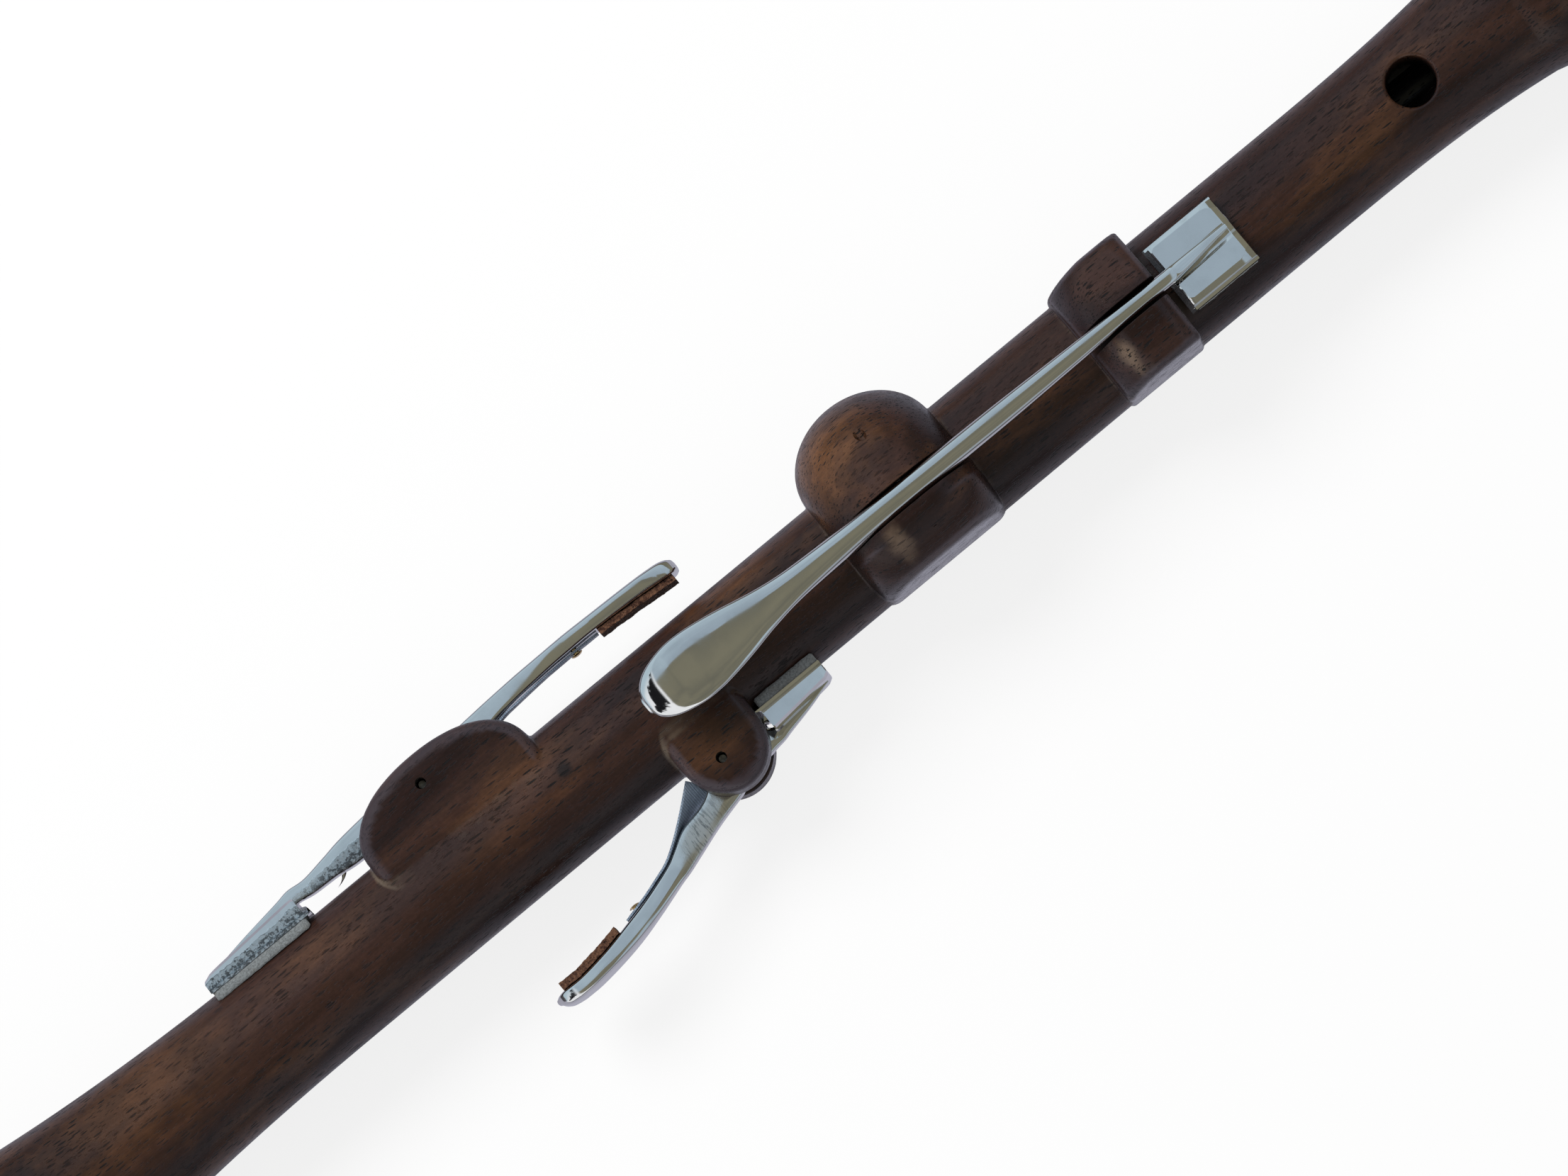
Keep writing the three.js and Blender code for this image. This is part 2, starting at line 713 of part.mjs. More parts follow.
// One key on its own side of the wood.
function keyGroup(key) {
  const group = new THREE.Group();
  const [right, left] = pinReach(key);
  const pinRod = crossRod(key.pivotX, key.pivotHeight, right + pin.recess, left - pin.recess, pin.radius);
  group.add(
    piece(`${key.name}_key_lever`, leverSolid(key), nickel),
    piece(`${key.name}_key_pad`, padSolid(key), leather),
    piece(`${key.name}_key_cork`, corkSolid(key), cork),
    piece(`${key.name}_key_spring`, springSolid(key), steel),
    piece(`${key.name}_key_rivet`, rivetSolid(key), brass),
    piece(`${key.name}_key_pin`, pinRod, steel),
  );
  group.rotation.x = key.turn;
  return group;
}

// The metal ferrules and the cork lap of the chanter.
function chanterGroup() {
  const group = new THREE.Group();
  const lap = tenonX + tenon.lapStart + fitGap;
  const lapEnd = lap + tenon.lapLength - 2 * fitGap;
  const lapInner = tenon.radius - tenon.lapDepth + fitGap;
  const footRingSolid = ring(0, footRing.length, footRing.radius - footRing.wall, footRing.radius);
  const headRingSolid = ring(headRingX, tenonX, headRing.radius - headRing.wall, headRing.radius);
  group.add(
    piece("chanter_body", chanterSolid(), rosewood),
    piece("foot_ferrule", footRingSolid, nickel),
    piece("head_ferrule", headRingSolid, nickel),
    piece("tenon_cork", ring(lap, lapEnd, lapInner, tenon.radius + tenon.lapProud), cork),
  );
  return group;
}

// The cap's mouth, its crown and the end of its chamber, and the reed that stands in it
const mouth = tenonX + fitGap + cap.seatGap;
const crown = mouth + cap.length;
const chamberEnd = crown - cap.crownDepth;
const reedFoot = throatX + fitGap;
const stapleEnd = reedFoot + reed.stapleLength;
const bladeStart = stapleEnd - reed.overlap;
const freeBlade = chamberEnd - reed.lipGap - stapleEnd;
const leafSteps = 6; // facets across an arched leaf of cane

// Half width and height of the reed's hollow, at a share of the way from the binding to the lips.
function reedHollow(share) {
  const { stapleFootRadius, stapleHeadRadius, overlap, stapleLength } = reed;
  const staple = lerp(stapleHeadRadius, stapleFootRadius, overlap / stapleLength);
  const bound = (staple + fitGap) / Math.cos(PI / 2 / leafSteps);
  return [
    lerp(bound, reed.lipHalfWidth - reed.bladeThickness, share ** reed.sidePower),
    lerp(bound, reed.lipHeight / 2, share),
  ];
}

// One leaf of cane: an arched wedge with the reed's hollow cut out of it. side is 1 up, -1 down.
function bladeSolid(side) {
  const bladeSteps = 5;
  const opening = steps(0, 1, bladeSteps).map((share) => [stapleEnd + share * freeBlade, share]);
  const stretch = [[bladeStart, 0], ...opening];
  const skin = (grown, foot) =>
    loft(
      stretch.map(([x, share], i) => {
        const [halfWidth, height] = reedHollow(share);
        const past = grown ? 0 : Math.sign(i - 0.5) * weld;
        return steps(0, PI, leafSteps).map((angle) => {
          const z = foot + (height + grown) * Math.sin(angle);
          return new THREE.Vector3(x + past, (halfWidth + grown) * Math.cos(angle), side * z);
        });
      }),
    );
  const outer = skin(reed.bladeThickness, reed.bladeParting / 2);
  return outer.subtract(skin(0, reed.bladeParting / 2 - fitGap / 2));
}

// The strip of copper that sets how far the reed opens.
function bridleSolid() {
  const x0 = stapleEnd + reed.bridleStart;
  const [, nearHeight] = reedHollow(reed.bridleStart / freeBlade);
  const [farHalfWidth] = reedHollow((reed.bridleStart + reed.bridleWidth) / freeBlade);
  const halfWidth = farHalfWidth + reed.bladeThickness;
  const rise = nearHeight + reed.bladeThickness + reed.bladeParting / 2;
  const oval = (grown) => {
    const shape = new THREE.Shape();
    return shape.absellipse(0, 0, rise + grown, halfWidth + grown, 0, 2 * PI);
  };
  const outline = oval(fitGap * 2 + reed.bridleWall);
  outline.holes.push(oval(fitGap * 2));
  const geometry = new THREE.ExtrudeGeometry(outline, {
    depth: reed.bridleWidth,
    bevelEnabled: false,
    curveSegments: 12,
  });
  return solid(geometry.rotateY(PI / 2).translate(x0, 0, 0));
}

// The double reed on its staple.
function reedGroup() {
  const group = new THREE.Group();
  const { stapleFootRadius, stapleHeadRadius, stapleWall, lapLength, bindingWall, bindingTail } = reed;
  const tube = rod(reedFoot, stapleEnd, stapleFootRadius, stapleHeadRadius, holeSides);
  const way = rod(
    reedFoot - weld,
    stapleEnd + weld,
    stapleFootRadius - stapleWall,
    stapleHeadRadius - stapleWall,
    holeSides,
  );
  const lapOuter = reedSeat.radius - fitGap;
  const lap = ring(reedFoot, reedFoot + lapLength, stapleFootRadius + fitGap, lapOuter, holeSides);
  const [, bound] = reedHollow(0);
  const bindingInner = bound + reed.bladeThickness + reed.bladeParting / 2 + fitGap;
  const binding = ring(
    bladeStart - bindingTail,
    stapleEnd - fitGap,
    bindingInner,
    bindingInner + bindingWall,
    holeSides,
  );
  group.add(
    piece("reed_staple", tube.subtract(way), brass),
    piece("reed_lapping", lap, thread),
    piece("reed_blade_back", bladeSolid(1), cane),
    piece("reed_blade_front", bladeSolid(-1), cane),
    piece("reed_binding", binding, thread),
    piece("reed_bridle", bridleSolid(), brass),
  );
  return group;
}

// The cap with its ferrules and the neck tube.
function capGroup() {
  const group = new THREE.Group();
  const bandRadius = cap.mouthRadius + cap.ferruleProud;
  const bandSeat = bandRadius - cap.ferruleWall - fitGap;
  const crownSeat = cap.crownRadius - cap.ferruleWall - fitGap;
  const bandEnd = mouth + cap.ferruleLength + fitGap;
  const crownStart = crown - cap.crownRingLength - fitGap;
  const belly = new THREE.SplineCurve(
    capProfileShares.map(
      ([t, share]) => new THREE.Vector2(lerp(bandEnd, crownStart, t), share * cap.mouthRadius),
    ),
  );
  const bellySteps = 9;
  const tubeEnd = crown + neck.length - neck.inside;
  const outline = [
    [mouth, 0],
    [mouth, bandSeat],
    [bandEnd, bandSeat],
    ...belly.getPoints(bellySteps).map(({ x, y }) => [x, y]),
    [crownStart, crownSeat],
    [crown, crownSeat],
    [crown, 0],
  ];
  const body = turned(outline)
    .subtract(rod(mouth - overrun, chamberEnd, tenon.radius + tenon.lapProud + fitGap))
    .subtract(rod(chamberEnd - overrun, crown, neck.radius - neck.wall))
    .subtract(rod(crown - neck.inside, crown + overrun, neck.radius + fitGap));
  const tube = ring(crown - neck.inside + fitGap, tubeEnd, neck.radius - neck.wall, neck.radius);
  const band = ring(mouth, mouth + cap.ferruleLength, bandRadius - cap.ferruleWall, bandRadius);
  const crownRing = ring(crownStart + fitGap, crown, cap.crownRadius - cap.ferruleWall, cap.crownRadius);
  group.add(
    piece("cap_body", body, rosewood),
    piece("cap_ferrule", band, nickel),
    piece("cap_crown_ring", crownRing, nickel),
    piece("neck_tube", tube, nickel),
  );
  return group;
}

// The whole chanter, its lowest point on the ground and its box centred over the origin.
const chanter = new THREE.Group();
chanter.add(chanterGroup(), ...keys.map(keyGroup), reedGroup(), capGroup());
const bounds = new THREE.Box3().setFromObject(chanter);
const centre = bounds.getCenter(new THREE.Vector3());
chanter.position.set(-centre.x, -centre.y, -bounds.min.z);

export default chanter;
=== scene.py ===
# %% [markdown]
# # Dressing a keyed chanter
# The frame holds the finger pipe of a set of uilleann pipes as plain faceted solids, in metres.
# This lesson builds the fine surfaces round that frame: carved wood, nickel keys, suede pads, cork,
# cane and thread. Every new piece is placed by the same lengths as its solid, so nothing is fitted
# by hand afterwards.

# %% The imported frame
import json
import math

import bpy
import numpy as np
from mathutils import Matrix, Vector

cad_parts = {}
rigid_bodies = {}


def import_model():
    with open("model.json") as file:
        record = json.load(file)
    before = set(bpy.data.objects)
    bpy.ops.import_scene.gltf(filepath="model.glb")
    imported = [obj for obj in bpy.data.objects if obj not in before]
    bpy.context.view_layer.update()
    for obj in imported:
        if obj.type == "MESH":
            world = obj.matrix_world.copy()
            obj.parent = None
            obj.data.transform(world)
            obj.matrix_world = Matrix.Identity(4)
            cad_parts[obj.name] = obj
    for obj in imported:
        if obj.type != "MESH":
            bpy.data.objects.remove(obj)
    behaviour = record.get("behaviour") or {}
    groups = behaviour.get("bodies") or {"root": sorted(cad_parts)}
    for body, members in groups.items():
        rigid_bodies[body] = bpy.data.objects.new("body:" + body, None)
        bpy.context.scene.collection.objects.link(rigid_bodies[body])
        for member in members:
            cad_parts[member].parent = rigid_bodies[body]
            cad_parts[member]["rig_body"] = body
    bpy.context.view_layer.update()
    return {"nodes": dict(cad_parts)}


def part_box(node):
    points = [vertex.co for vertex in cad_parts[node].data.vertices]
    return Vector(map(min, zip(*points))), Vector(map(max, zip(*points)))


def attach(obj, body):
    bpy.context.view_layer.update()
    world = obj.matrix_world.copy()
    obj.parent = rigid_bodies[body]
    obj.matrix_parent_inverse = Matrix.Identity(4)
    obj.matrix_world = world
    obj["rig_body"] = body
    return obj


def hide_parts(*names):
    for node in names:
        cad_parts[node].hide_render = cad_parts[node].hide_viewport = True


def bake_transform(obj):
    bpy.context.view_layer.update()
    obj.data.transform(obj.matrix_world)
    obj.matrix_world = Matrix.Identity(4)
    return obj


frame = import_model()

# %% [markdown]
# ## Lengths and places
# A pipe maker thinks along the pipe: x runs from the foot, y to the left, z to the thumb side, all
# from the pipe's own line and in millimetres. One function turns such points into the frame. The
# side keys are drawn as if they stood on top and are then turned about the pipe's line, as the
# maker turns the pipe in the vice.

# %% From the maker's millimetres to the frame
MM = 0.001
foot_low, foot_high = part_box("foot_ferrule")
PIPE_LINE = np.array([foot_low.x, (foot_low.y + foot_high.y) / 2, (foot_low.z + foot_high.z) / 2])


def to_frame(points, turn=0.0):
    """Points in millimetres, turned about the pipe's line by `turn`, then scaled to metres and moved
    to where the frame has the pipe: y' = y cos - z sin and z' = y sin + z cos."""
    x, y, z = np.moveaxis(np.asarray(points, float), -1, 0)
    cos, sin = math.cos(turn), math.sin(turn)
    turned = np.stack([x, y * cos - z * sin, y * sin + z * cos], -1)
    return turned * MM + PIPE_LINE


def from_frame(points, turn=0.0):
    """The way back: frame metres as millimetres along the pipe, in a key's own turned view."""
    x, y, z = np.moveaxis((np.asarray(points, float) - PIPE_LINE) / MM, -1, 0)
    cos, sin = math.cos(turn), math.sin(turn)
    return np.stack([x, y * cos + z * sin, z * cos - y * sin], -1)


print("the pipe's line starts at", PIPE_LINE.round(5).tolist())

# %% Sizes of the pipe, the same as in the frame
PIPE_LENGTH = 346.0
FOOT_RADIUS = 13.4
WAIST_X, WAIST_RADIUS = 0.2023 * PIPE_LENGTH, 9.65
GRIP_X, GRIP_RADIUS = 0.7225 * PIPE_LENGTH, 9.3
FOOT_FLARE_POWER, HEAD_FLARE_POWER = 2.45, 2.8
FOOT_RING_LENGTH, FOOT_RING_RADIUS, FOOT_RING_WALL = 7.0, 14.4, 1.1
HEAD_RING_LENGTH, HEAD_RING_RADIUS, HEAD_RING_WALL = 14.0, 11.6, 1.0
COLLAR_LENGTH, COLLAR_RADIUS, COLLAR_BULGE, COLLAR_GAP = 11.0, 11.4, 1.3, 3.0
TENON_LENGTH, TENON_RADIUS = 28.0, 8.6
LAP_START, LAP_LENGTH, LAP_DEPTH, LAP_PROUD = 3.5, 20.0, 0.9, 0.6
FIT_GAP = 0.15
RUN_GAP = 0.1
OVERRUN = 2.0
BLOCK_HALF_DEPTH = 8.6
BORE_FOOT_RADIUS, BORE_THROAT_RADIUS = 6.6, 2.3
REED_SEAT_DEPTH, REED_SEAT_RADIUS = 23.0, 3.6
TENON_X = PIPE_LENGTH - TENON_LENGTH
THROAT_X = PIPE_LENGTH - REED_SEAT_DEPTH
HEAD_RING_X = TENON_X - HEAD_RING_LENGTH
COLLAR_X = HEAD_RING_X - COLLAR_GAP - COLLAR_LENGTH
THUMB_X, THUMB_RADIUS = 0.7853 * PIPE_LENGTH, 3.75
FRONT_HOLE_RADIUS = 4.0
front_hole_place_shares = (0.191, 0.283, 0.373, 0.462, 0.543, 0.627, 0.711)
front_hole_radius_shares = (0.65, 1, 0.9, 0.75, 0.88, 0.8, 0.65)
print("the reed sits at", THROAT_X, "mm and the tenon starts at", TENON_X, "mm")

# %% [markdown]
# ## Small mesh tools
# Nearly every piece here is a grid of points: rows along it and columns round it. Writing the grid
# as one array keeps the formula in view and the script fast. The faces follow from the grid's size
# alone, and a piece whose faces come out inside out is told by its volume, which is then negative.

# %% Grids to closed meshes
def spread(*coordinates):
    """Points from coordinates whose arrays of rows and columns fit together."""
    return np.stack(np.broadcast_arrays(*coordinates), -1)


def once_round(sides):
    """The angles of one full turn, as a row."""
    return np.linspace(0, 2 * math.pi, sides, endpoint=False)[None, :]


def placed(name, data):
    """A new object in the scene that holds a mesh, a lamp or a camera."""
    made = bpy.data.objects.new(name, data)
    bpy.context.scene.collection.objects.link(made)
    return made


def grid_faces(rows, columns, ring=False):
    """Quads between neighbouring rows and columns. The columns always run round and meet; the rows
    meet too when `ring` is true."""
    row = np.arange(rows if ring else rows - 1)[:, None]
    column = np.arange(columns)[None, :]
    here, there = row * columns, ((row + 1) % rows) * columns
    after = (column + 1) % columns
    return np.stack([here + column, here + after, there + after, there + column], -1).reshape(-1, 4)


def volume_of(corners, faces):
    """Six times the volume inside the faces: the sum of a . (b x c) over their triangles."""
    total = 0.0
    for block in faces:
        for k in range(1, block.shape[1] - 1):
            a, b, c = corners[block[:, 0]], corners[block[:, k]], corners[block[:, k + 1]]
            total += np.einsum("ij,ij->", a, np.cross(b, c))
    return total


def make_piece(name, corners, faces, turn=0.0, sharp=50.0):
    """A smooth mesh object from corners in millimetres and blocks of three or four cornered faces.
    Edges that turn by more than `sharp` degrees stay crisp."""
    if volume_of(corners - corners.mean(0), faces) < 0:
        faces = [block[:, ::-1] for block in faces]
    mesh = bpy.data.meshes.new(name)
    mesh.vertices.add(len(corners))
    mesh.vertices.foreach_set("co", to_frame(corners, turn).astype(np.float32).ravel())
    loops = np.concatenate([block.ravel() for block in faces]).astype(np.int32)
    counts = np.concatenate([np.full(len(block), block.shape[1]) for block in faces])
    starts = np.concatenate([[0], np.cumsum(counts)[:-1]]).astype(np.int32)
    mesh.loops.add(len(loops))
    mesh.loops.foreach_set("vertex_index", loops)
    mesh.polygons.add(len(counts))
    mesh.polygons.foreach_set("loop_start", starts)
    mesh.update(calc_edges=True)
    mesh.shade_smooth()
    mesh.set_sharp_from_angle(angle=math.radians(sharp))
    return placed(name, mesh)


def skin(name, rings, turn=0.0, sharp=50.0):
    """A closed body over rings of points, an array of rows x columns x 3. Each end is drawn together
    in one point, the mean of its last ring."""
    rows, columns = rings.shape[:2]
    poles = np.stack([rings[0].mean(0), rings[-1].mean(0)])
    corners = np.concatenate([rings.reshape(-1, 3), poles])
    column = np.arange(columns)
    after = (column + 1) % columns
    last = (rows - 1) * columns
    first_fan = np.stack([np.full(columns, rows * columns), after, column], -1)
    last_fan = np.stack([np.full(columns, rows * columns + 1), last + column, last + after], -1)
    return make_piece(name, corners, [grid_faces(rows, columns), first_fan, last_fan], turn, sharp)


def turned_ring(name, profile, sides=96, sharp=40.0):
    """A body turned on the lathe with a hole through it: the closed profile of (x, radius) points
    goes once round the pipe's line, (x, radius cos a, radius sin a)."""
    along, radius = np.asarray(profile, float).T[:, :, None]
    angle = once_round(sides)
    points = spread(along, radius * np.cos(angle), radius * np.sin(angle))
    faces = grid_faces(len(points), sides, ring=True)
    return make_piece(name, points.reshape(-1, 3), [faces], sharp=sharp)


MOST_EASE_SHARE = 0.45
FINE_EASE = 0.12


def eased(profile, ease, steps=4):
    """A closed profile with soft corners. A corner P between A and B becomes a short curve: with a and
    b one `ease` from P towards A and B, its points are (1-t)^2 a + 2t(1-t) P + t^2 b."""
    corners = np.asarray(profile, float)

    def step_towards(other):
        run = other - corners
        length = np.linalg.norm(run, axis=1, keepdims=True)
        return corners + run / np.maximum(length, 1e-9) * np.minimum(ease, length * MOST_EASE_SHARE)

    before, after = step_towards(np.roll(corners, 1, 0)), step_towards(np.roll(corners, -1, 0))
    t = np.linspace(0, 1, steps)[None, :, None]
    a, p, b = (values[:, None, :] for values in (before, corners, after))
    return ((1 - t) ** 2 * a + 2 * t * (1 - t) * p + t**2 * b).reshape(-1, 2)


print("mesh tools are ready")

# %% [markdown]
# ## Cutting and joining
# A Boolean modifier cuts one closed mesh with another. Its result is read back from the evaluated
# object, so no modifier stays on the finished piece, and the tools are thrown away.

# %% Cut and join with Boolean modifiers
def apply_modifiers(piece):
    """Keep what the modifiers make of a piece's mesh, and take them off."""
    state = bpy.context.evaluated_depsgraph_get()
    state.update()
    piece.data = bpy.data.meshes.new_from_object(piece.evaluated_get(state))
    piece.modifiers.clear()


def worked(piece, tools, operation="DIFFERENCE", sharp=42.0):
    """The piece after each tool has cut it, or has been joined to it."""
    for tool in tools:
        cut = piece.modifiers.new("work", "BOOLEAN")
        cut.operation = operation
        cut.solver = "MANIFOLD"
        cut.object = tool
    apply_modifiers(piece)
    piece.data.shade_smooth()
    piece.data.set_sharp_from_angle(angle=math.radians(sharp))
    for tool in tools:
        bpy.data.objects.remove(tool)


print("cutting tools are ready")

# %% [markdown]
# ## The wood as one distance formula
# The real chanter is one stick of rosewood: turned, with rings left standing, then sawn and carved
# so that blocks remain for the keys. Joining separate meshes would leave knife-sharp seams. Here the
# wood is instead a formula that says how far a point is from the surface. Where two forms cross, the
# formula rounds the rim; where they join, it leaves a small fillet, as a file and sandpaper do. The
# skin is then found along rays from the pipe's line.

# %% The turned outline
LONG_PLACE_SHARE, LEFT_PLACE_SHARE, RIGHT_PLACE_SHARE = 0.511, 0.2746, 0.3795
LONG_FLAP_ARM, LONG_FLAP_LENGTH, GUIDE_TO_FLAP = 61.4, 11.9, 1.9
BALL_OFF_PIN, LEFT_OFF_PIN, RIGHT_OFF_PIN = -1.3, 1.4, 1.1
ball = dict(
    x=LONG_PLACE_SHARE * PIPE_LENGTH + BALL_OFF_PIN, half=11.5, radius=18.7, hub=9.0, right_cut=9.75,
    right_share=0.64, right_fullness=1.4, fuller_over=4.0,
)
RIGHT_FLAT_LOW, RIGHT_EDGE = 3.2, 0.9
GUIDE_LENGTH, GUIDE_RADIUS, GUIDE_FOOT = 14.1, 15.3, 10.2
GUIDE_LEFT_NEAR, GUIDE_LEFT_FAR, GUIDE_RIGHT_CUT = 10.1, 10.9, 9.55
GUIDE_END = LONG_PLACE_SHARE * PIPE_LENGTH + LONG_FLAP_ARM - LONG_FLAP_LENGTH - GUIDE_TO_FLAP
GUIDE_X = GUIDE_END - GUIDE_LENGTH
GUIDE_RISE_SHARE, GUIDE_RISE_POWER, GUIDE_FALL_SHARE, GUIDE_FALL = 0.6, 2.8, 0.2, 0.2
left_block = dict(
    x=LEFT_PLACE_SHARE * PIPE_LENGTH + LEFT_OFF_PIN, half=15.05, shoulder=8.9, top=17.9,
    power=2.2, rim=1.9,
)
right_block = dict(
    x=RIGHT_PLACE_SHARE * PIPE_LENGTH + RIGHT_OFF_PIN, half=6.9, shoulder=10.0, top=17.4,
    power=2.0, rim=1.7,
)
ROOT_FILLET = 0.45
RING_EDGE = 0.55


def wood_radius(x):
    """Radius of the plain turned wood: a straight taper from waist to grip, plus a flare at the foot
    and one at the head that each grow with a power of the way gone."""
    foot = np.clip((WAIST_X - x) / (WAIST_X - FOOT_RING_LENGTH), 0, 1) ** FOOT_FLARE_POWER
    head = np.clip((x - GRIP_X) / (COLLAR_X - GRIP_X), 0, 1) ** HEAD_FLARE_POWER
    middle = np.interp(x, [WAIST_X, GRIP_X], [WAIST_RADIUS, GRIP_RADIUS])
    return middle + (FOOT_RADIUS - WAIST_RADIUS) * foot + (COLLAR_RADIUS - GRIP_RADIUS) * head


def turned_outline(x):
    """Radius of the whole stick, with its ferrule seats, collar bead, tenon and cork recess."""
    foot_seat = FOOT_RING_RADIUS - FOOT_RING_WALL - FIT_GAP
    head_seat = HEAD_RING_RADIUS - HEAD_RING_WALL - FIT_GAP
    t = np.clip((x - COLLAR_X) / COLLAR_LENGTH, 0, 1)
    bead = COLLAR_RADIUS + (head_seat - COLLAR_RADIUS) * t + COLLAR_BULGE * np.sin(math.pi * t)
    radius = np.where(x > COLLAR_X, bead, wood_radius(x))
    radius = np.where(x < FOOT_RING_LENGTH + FIT_GAP, foot_seat, radius)
    radius = np.where(x > TENON_X + FIT_GAP, TENON_RADIUS, radius)
    lap = (x > TENON_X + LAP_START) & (x < TENON_X + LAP_START + LAP_LENGTH)
    return np.where(lap, TENON_RADIUS - LAP_DEPTH, radius)


print("waist radius", wood_radius(WAIST_X), "mm, grip radius", wood_radius(GRIP_X), "mm")


# %% Distances with rounded rims and filleted roots
def meet(a, b, radius):
    """Distance to what two bodies share, its rim rounded: min(max(a, b), -r) + |(a + r, b + r)|."""
    rim = np.hypot(np.maximum(a + radius, 0), np.maximum(b + radius, 0))
    return np.minimum(np.maximum(a, b), -radius) + rim


def join(a, b, radius):
    """Distance to two bodies together, with a fillet: max(min(a, b), r) - |(r - a, r - b)|."""
    fillet = np.hypot(np.maximum(radius - a, 0), np.maximum(radius - b, 0))
    return np.maximum(np.minimum(a, b), radius) - fillet


def flattened(gap, y, z, right_cut):
    """A form with the flats that ball and guide ring share: one on the right, and one in front that
    stands higher on the right."""
    front = np.where(y < 0, RIGHT_FLAT_LOW, BLOCK_HALF_DEPTH)
    flats = meet(-y - right_cut, -z - front, RING_EDGE)
    return meet(gap, flats, np.where(y < 0, RIGHT_EDGE, RING_EDGE))


def ball_gap(x, y, z):
    """The long key's ball: an oval |u|^p + |v|^p = 1 over the pipe, with p = 2 on the left; on the
    right it is squashed and p grows, so that it is fuller. Then it gets its flats."""
    reach = np.hypot(np.where(y > 0, y, y / ball["right_share"]), z)
    rise = np.maximum(reach - ball["hub"], 0) / (ball["radius"] - ball["hub"])
    power = 2 + ball["right_fullness"] * np.clip(-y / ball["fuller_over"], 0, 1)
    level = ((np.abs(x - ball["x"]) / ball["half"]) ** power + rise**power) ** (1 / power)
    return flattened((level - 1) * (ball["radius"] - ball["hub"]), y, z, ball["right_cut"])


def guide_gap(x, y, z):
    """The guide ring: a turned hump, sawn flat on the right and in front, ramped on the left."""
    t = (x - GUIDE_X) / GUIDE_LENGTH
    climb = 1 - (1 - np.clip(t / GUIDE_RISE_SHARE, 0, 1)) ** GUIDE_RISE_POWER
    rise = climb - GUIDE_FALL * np.clip((t - 1) / GUIDE_FALL_SHARE + 1, 0, 1) ** 2
    radius = GUIDE_FOOT + rise * (GUIDE_RADIUS - GUIDE_FOOT)
    ends = np.abs(x - GUIDE_X - GUIDE_LENGTH / 2) - GUIDE_LENGTH / 2
    hump = meet(np.hypot(y, z) - radius, ends, RING_EDGE)
    left_side = np.interp(t, [0, 0.5], [GUIDE_LEFT_NEAR, GUIDE_LEFT_FAR])
    return meet(flattened(hump, y, z, GUIDE_RIGHT_CUT), y - left_side, RING_EDGE)


def block_gap(x, out, block):
    """Distance to an arched cheek's outline, |u|^p + |v|^p = 1 over its shoulder with straight ends
    below: how far the level is from one, over its own slope."""
    high = block["top"] - block["shoulder"]
    u = np.abs(x - block["x"]) / block["half"]
    v = np.maximum(out - block["shoulder"], 0) / high
    power = block["power"]
    level = np.maximum((u**power + v**power) ** (1 / power), 1e-6)
    slope = np.hypot((u / level) ** (power - 1) / block["half"], (v / level) ** (power - 1) / high)
    return (level - 1) / np.maximum(slope, 1e-6)


def wood_gap(x, y, z):
    """Distance from the stick's surface, below zero inside the wood."""
    gap = np.hypot(y, z) - turned_outline(x)
    for out, block in ((y, left_block), (-y, right_block)):
        outline = np.where(out > 0, block_gap(x, out, block), OVERRUN)
        gap = join(gap, meet(outline, np.abs(z) - BLOCK_HALF_DEPTH, block["rim"]), ROOT_FILLET)
    for ring in (ball_gap, guide_gap):
        gap = join(gap, ring(x, y, z), ROOT_FILLET / 2)
    return gap


SEARCH_FROM, SEARCH_TO, HALVINGS = 4.0, 24.0, 26


def surface_reach(gap, shape=()):
    """Where a distance changes its sign between two reaches, found by halving the stretch."""
    inner, outer = np.full(shape, SEARCH_FROM), np.full(shape, SEARCH_TO)
    for _ in range(HALVINGS):
        middle = (inner + outer) / 2
        inside = gap(middle) < 0
        inner, outer = np.where(inside, middle, inner), np.where(inside, outer, middle)
    return (inner + outer) / 2


ball_reach = surface_reach(lambda r: wood_gap(ball["x"], r, 0.0))
print("the ball stands", round(float(ball_reach), 2), "mm out on the left")

# %% The skin of the wood
PLAIN_STEP, CARVED_STEP, LEAST_STEP = 2.3, 0.55, 0.015
CARVED_MARGIN = 1.5
COLLAR_ROWS = 17
WALL_OFFSETS = np.array([-1.4, -0.9, -0.5, -0.25, -0.1, -0.03, 0.03, 0.1, 0.3, 0.7])
STEP_OFFSETS = np.array([-0.02, 0.02])
WOOD_SIDES = 240


def wood_stations():
    """Where the rows lie: close together over the carved forms and at their walls, wide elsewhere."""
    carved = [
        (ball["x"], ball["half"]),
        (GUIDE_X + GUIDE_LENGTH / 2, GUIDE_LENGTH / 2),
        (left_block["x"], left_block["half"]),
        (right_block["x"], right_block["half"]),
    ]
    rows = [np.arange(0, PIPE_LENGTH, PLAIN_STEP), [PIPE_LENGTH]]
    for x, half in carved:
        rows.append(np.arange(x - half - CARVED_MARGIN, x + half + CARVED_MARGIN, CARVED_STEP))
        rows += [x - side * half - side * WALL_OFFSETS for side in (-1, 1)]
    lap = TENON_X + LAP_START
    for place in (FOOT_RING_LENGTH + FIT_GAP, TENON_X + FIT_GAP, lap, lap + LAP_LENGTH):
        rows.append(place + STEP_OFFSETS)
    rows.append(np.linspace(COLLAR_X, COLLAR_X + COLLAR_LENGTH, COLLAR_ROWS))
    rows = np.unique(np.concatenate(rows).round(3))
    rows = rows[(rows >= 0) & (rows <= PIPE_LENGTH)]
    return rows[np.concatenate([[True], np.diff(rows) > LEAST_STEP])]


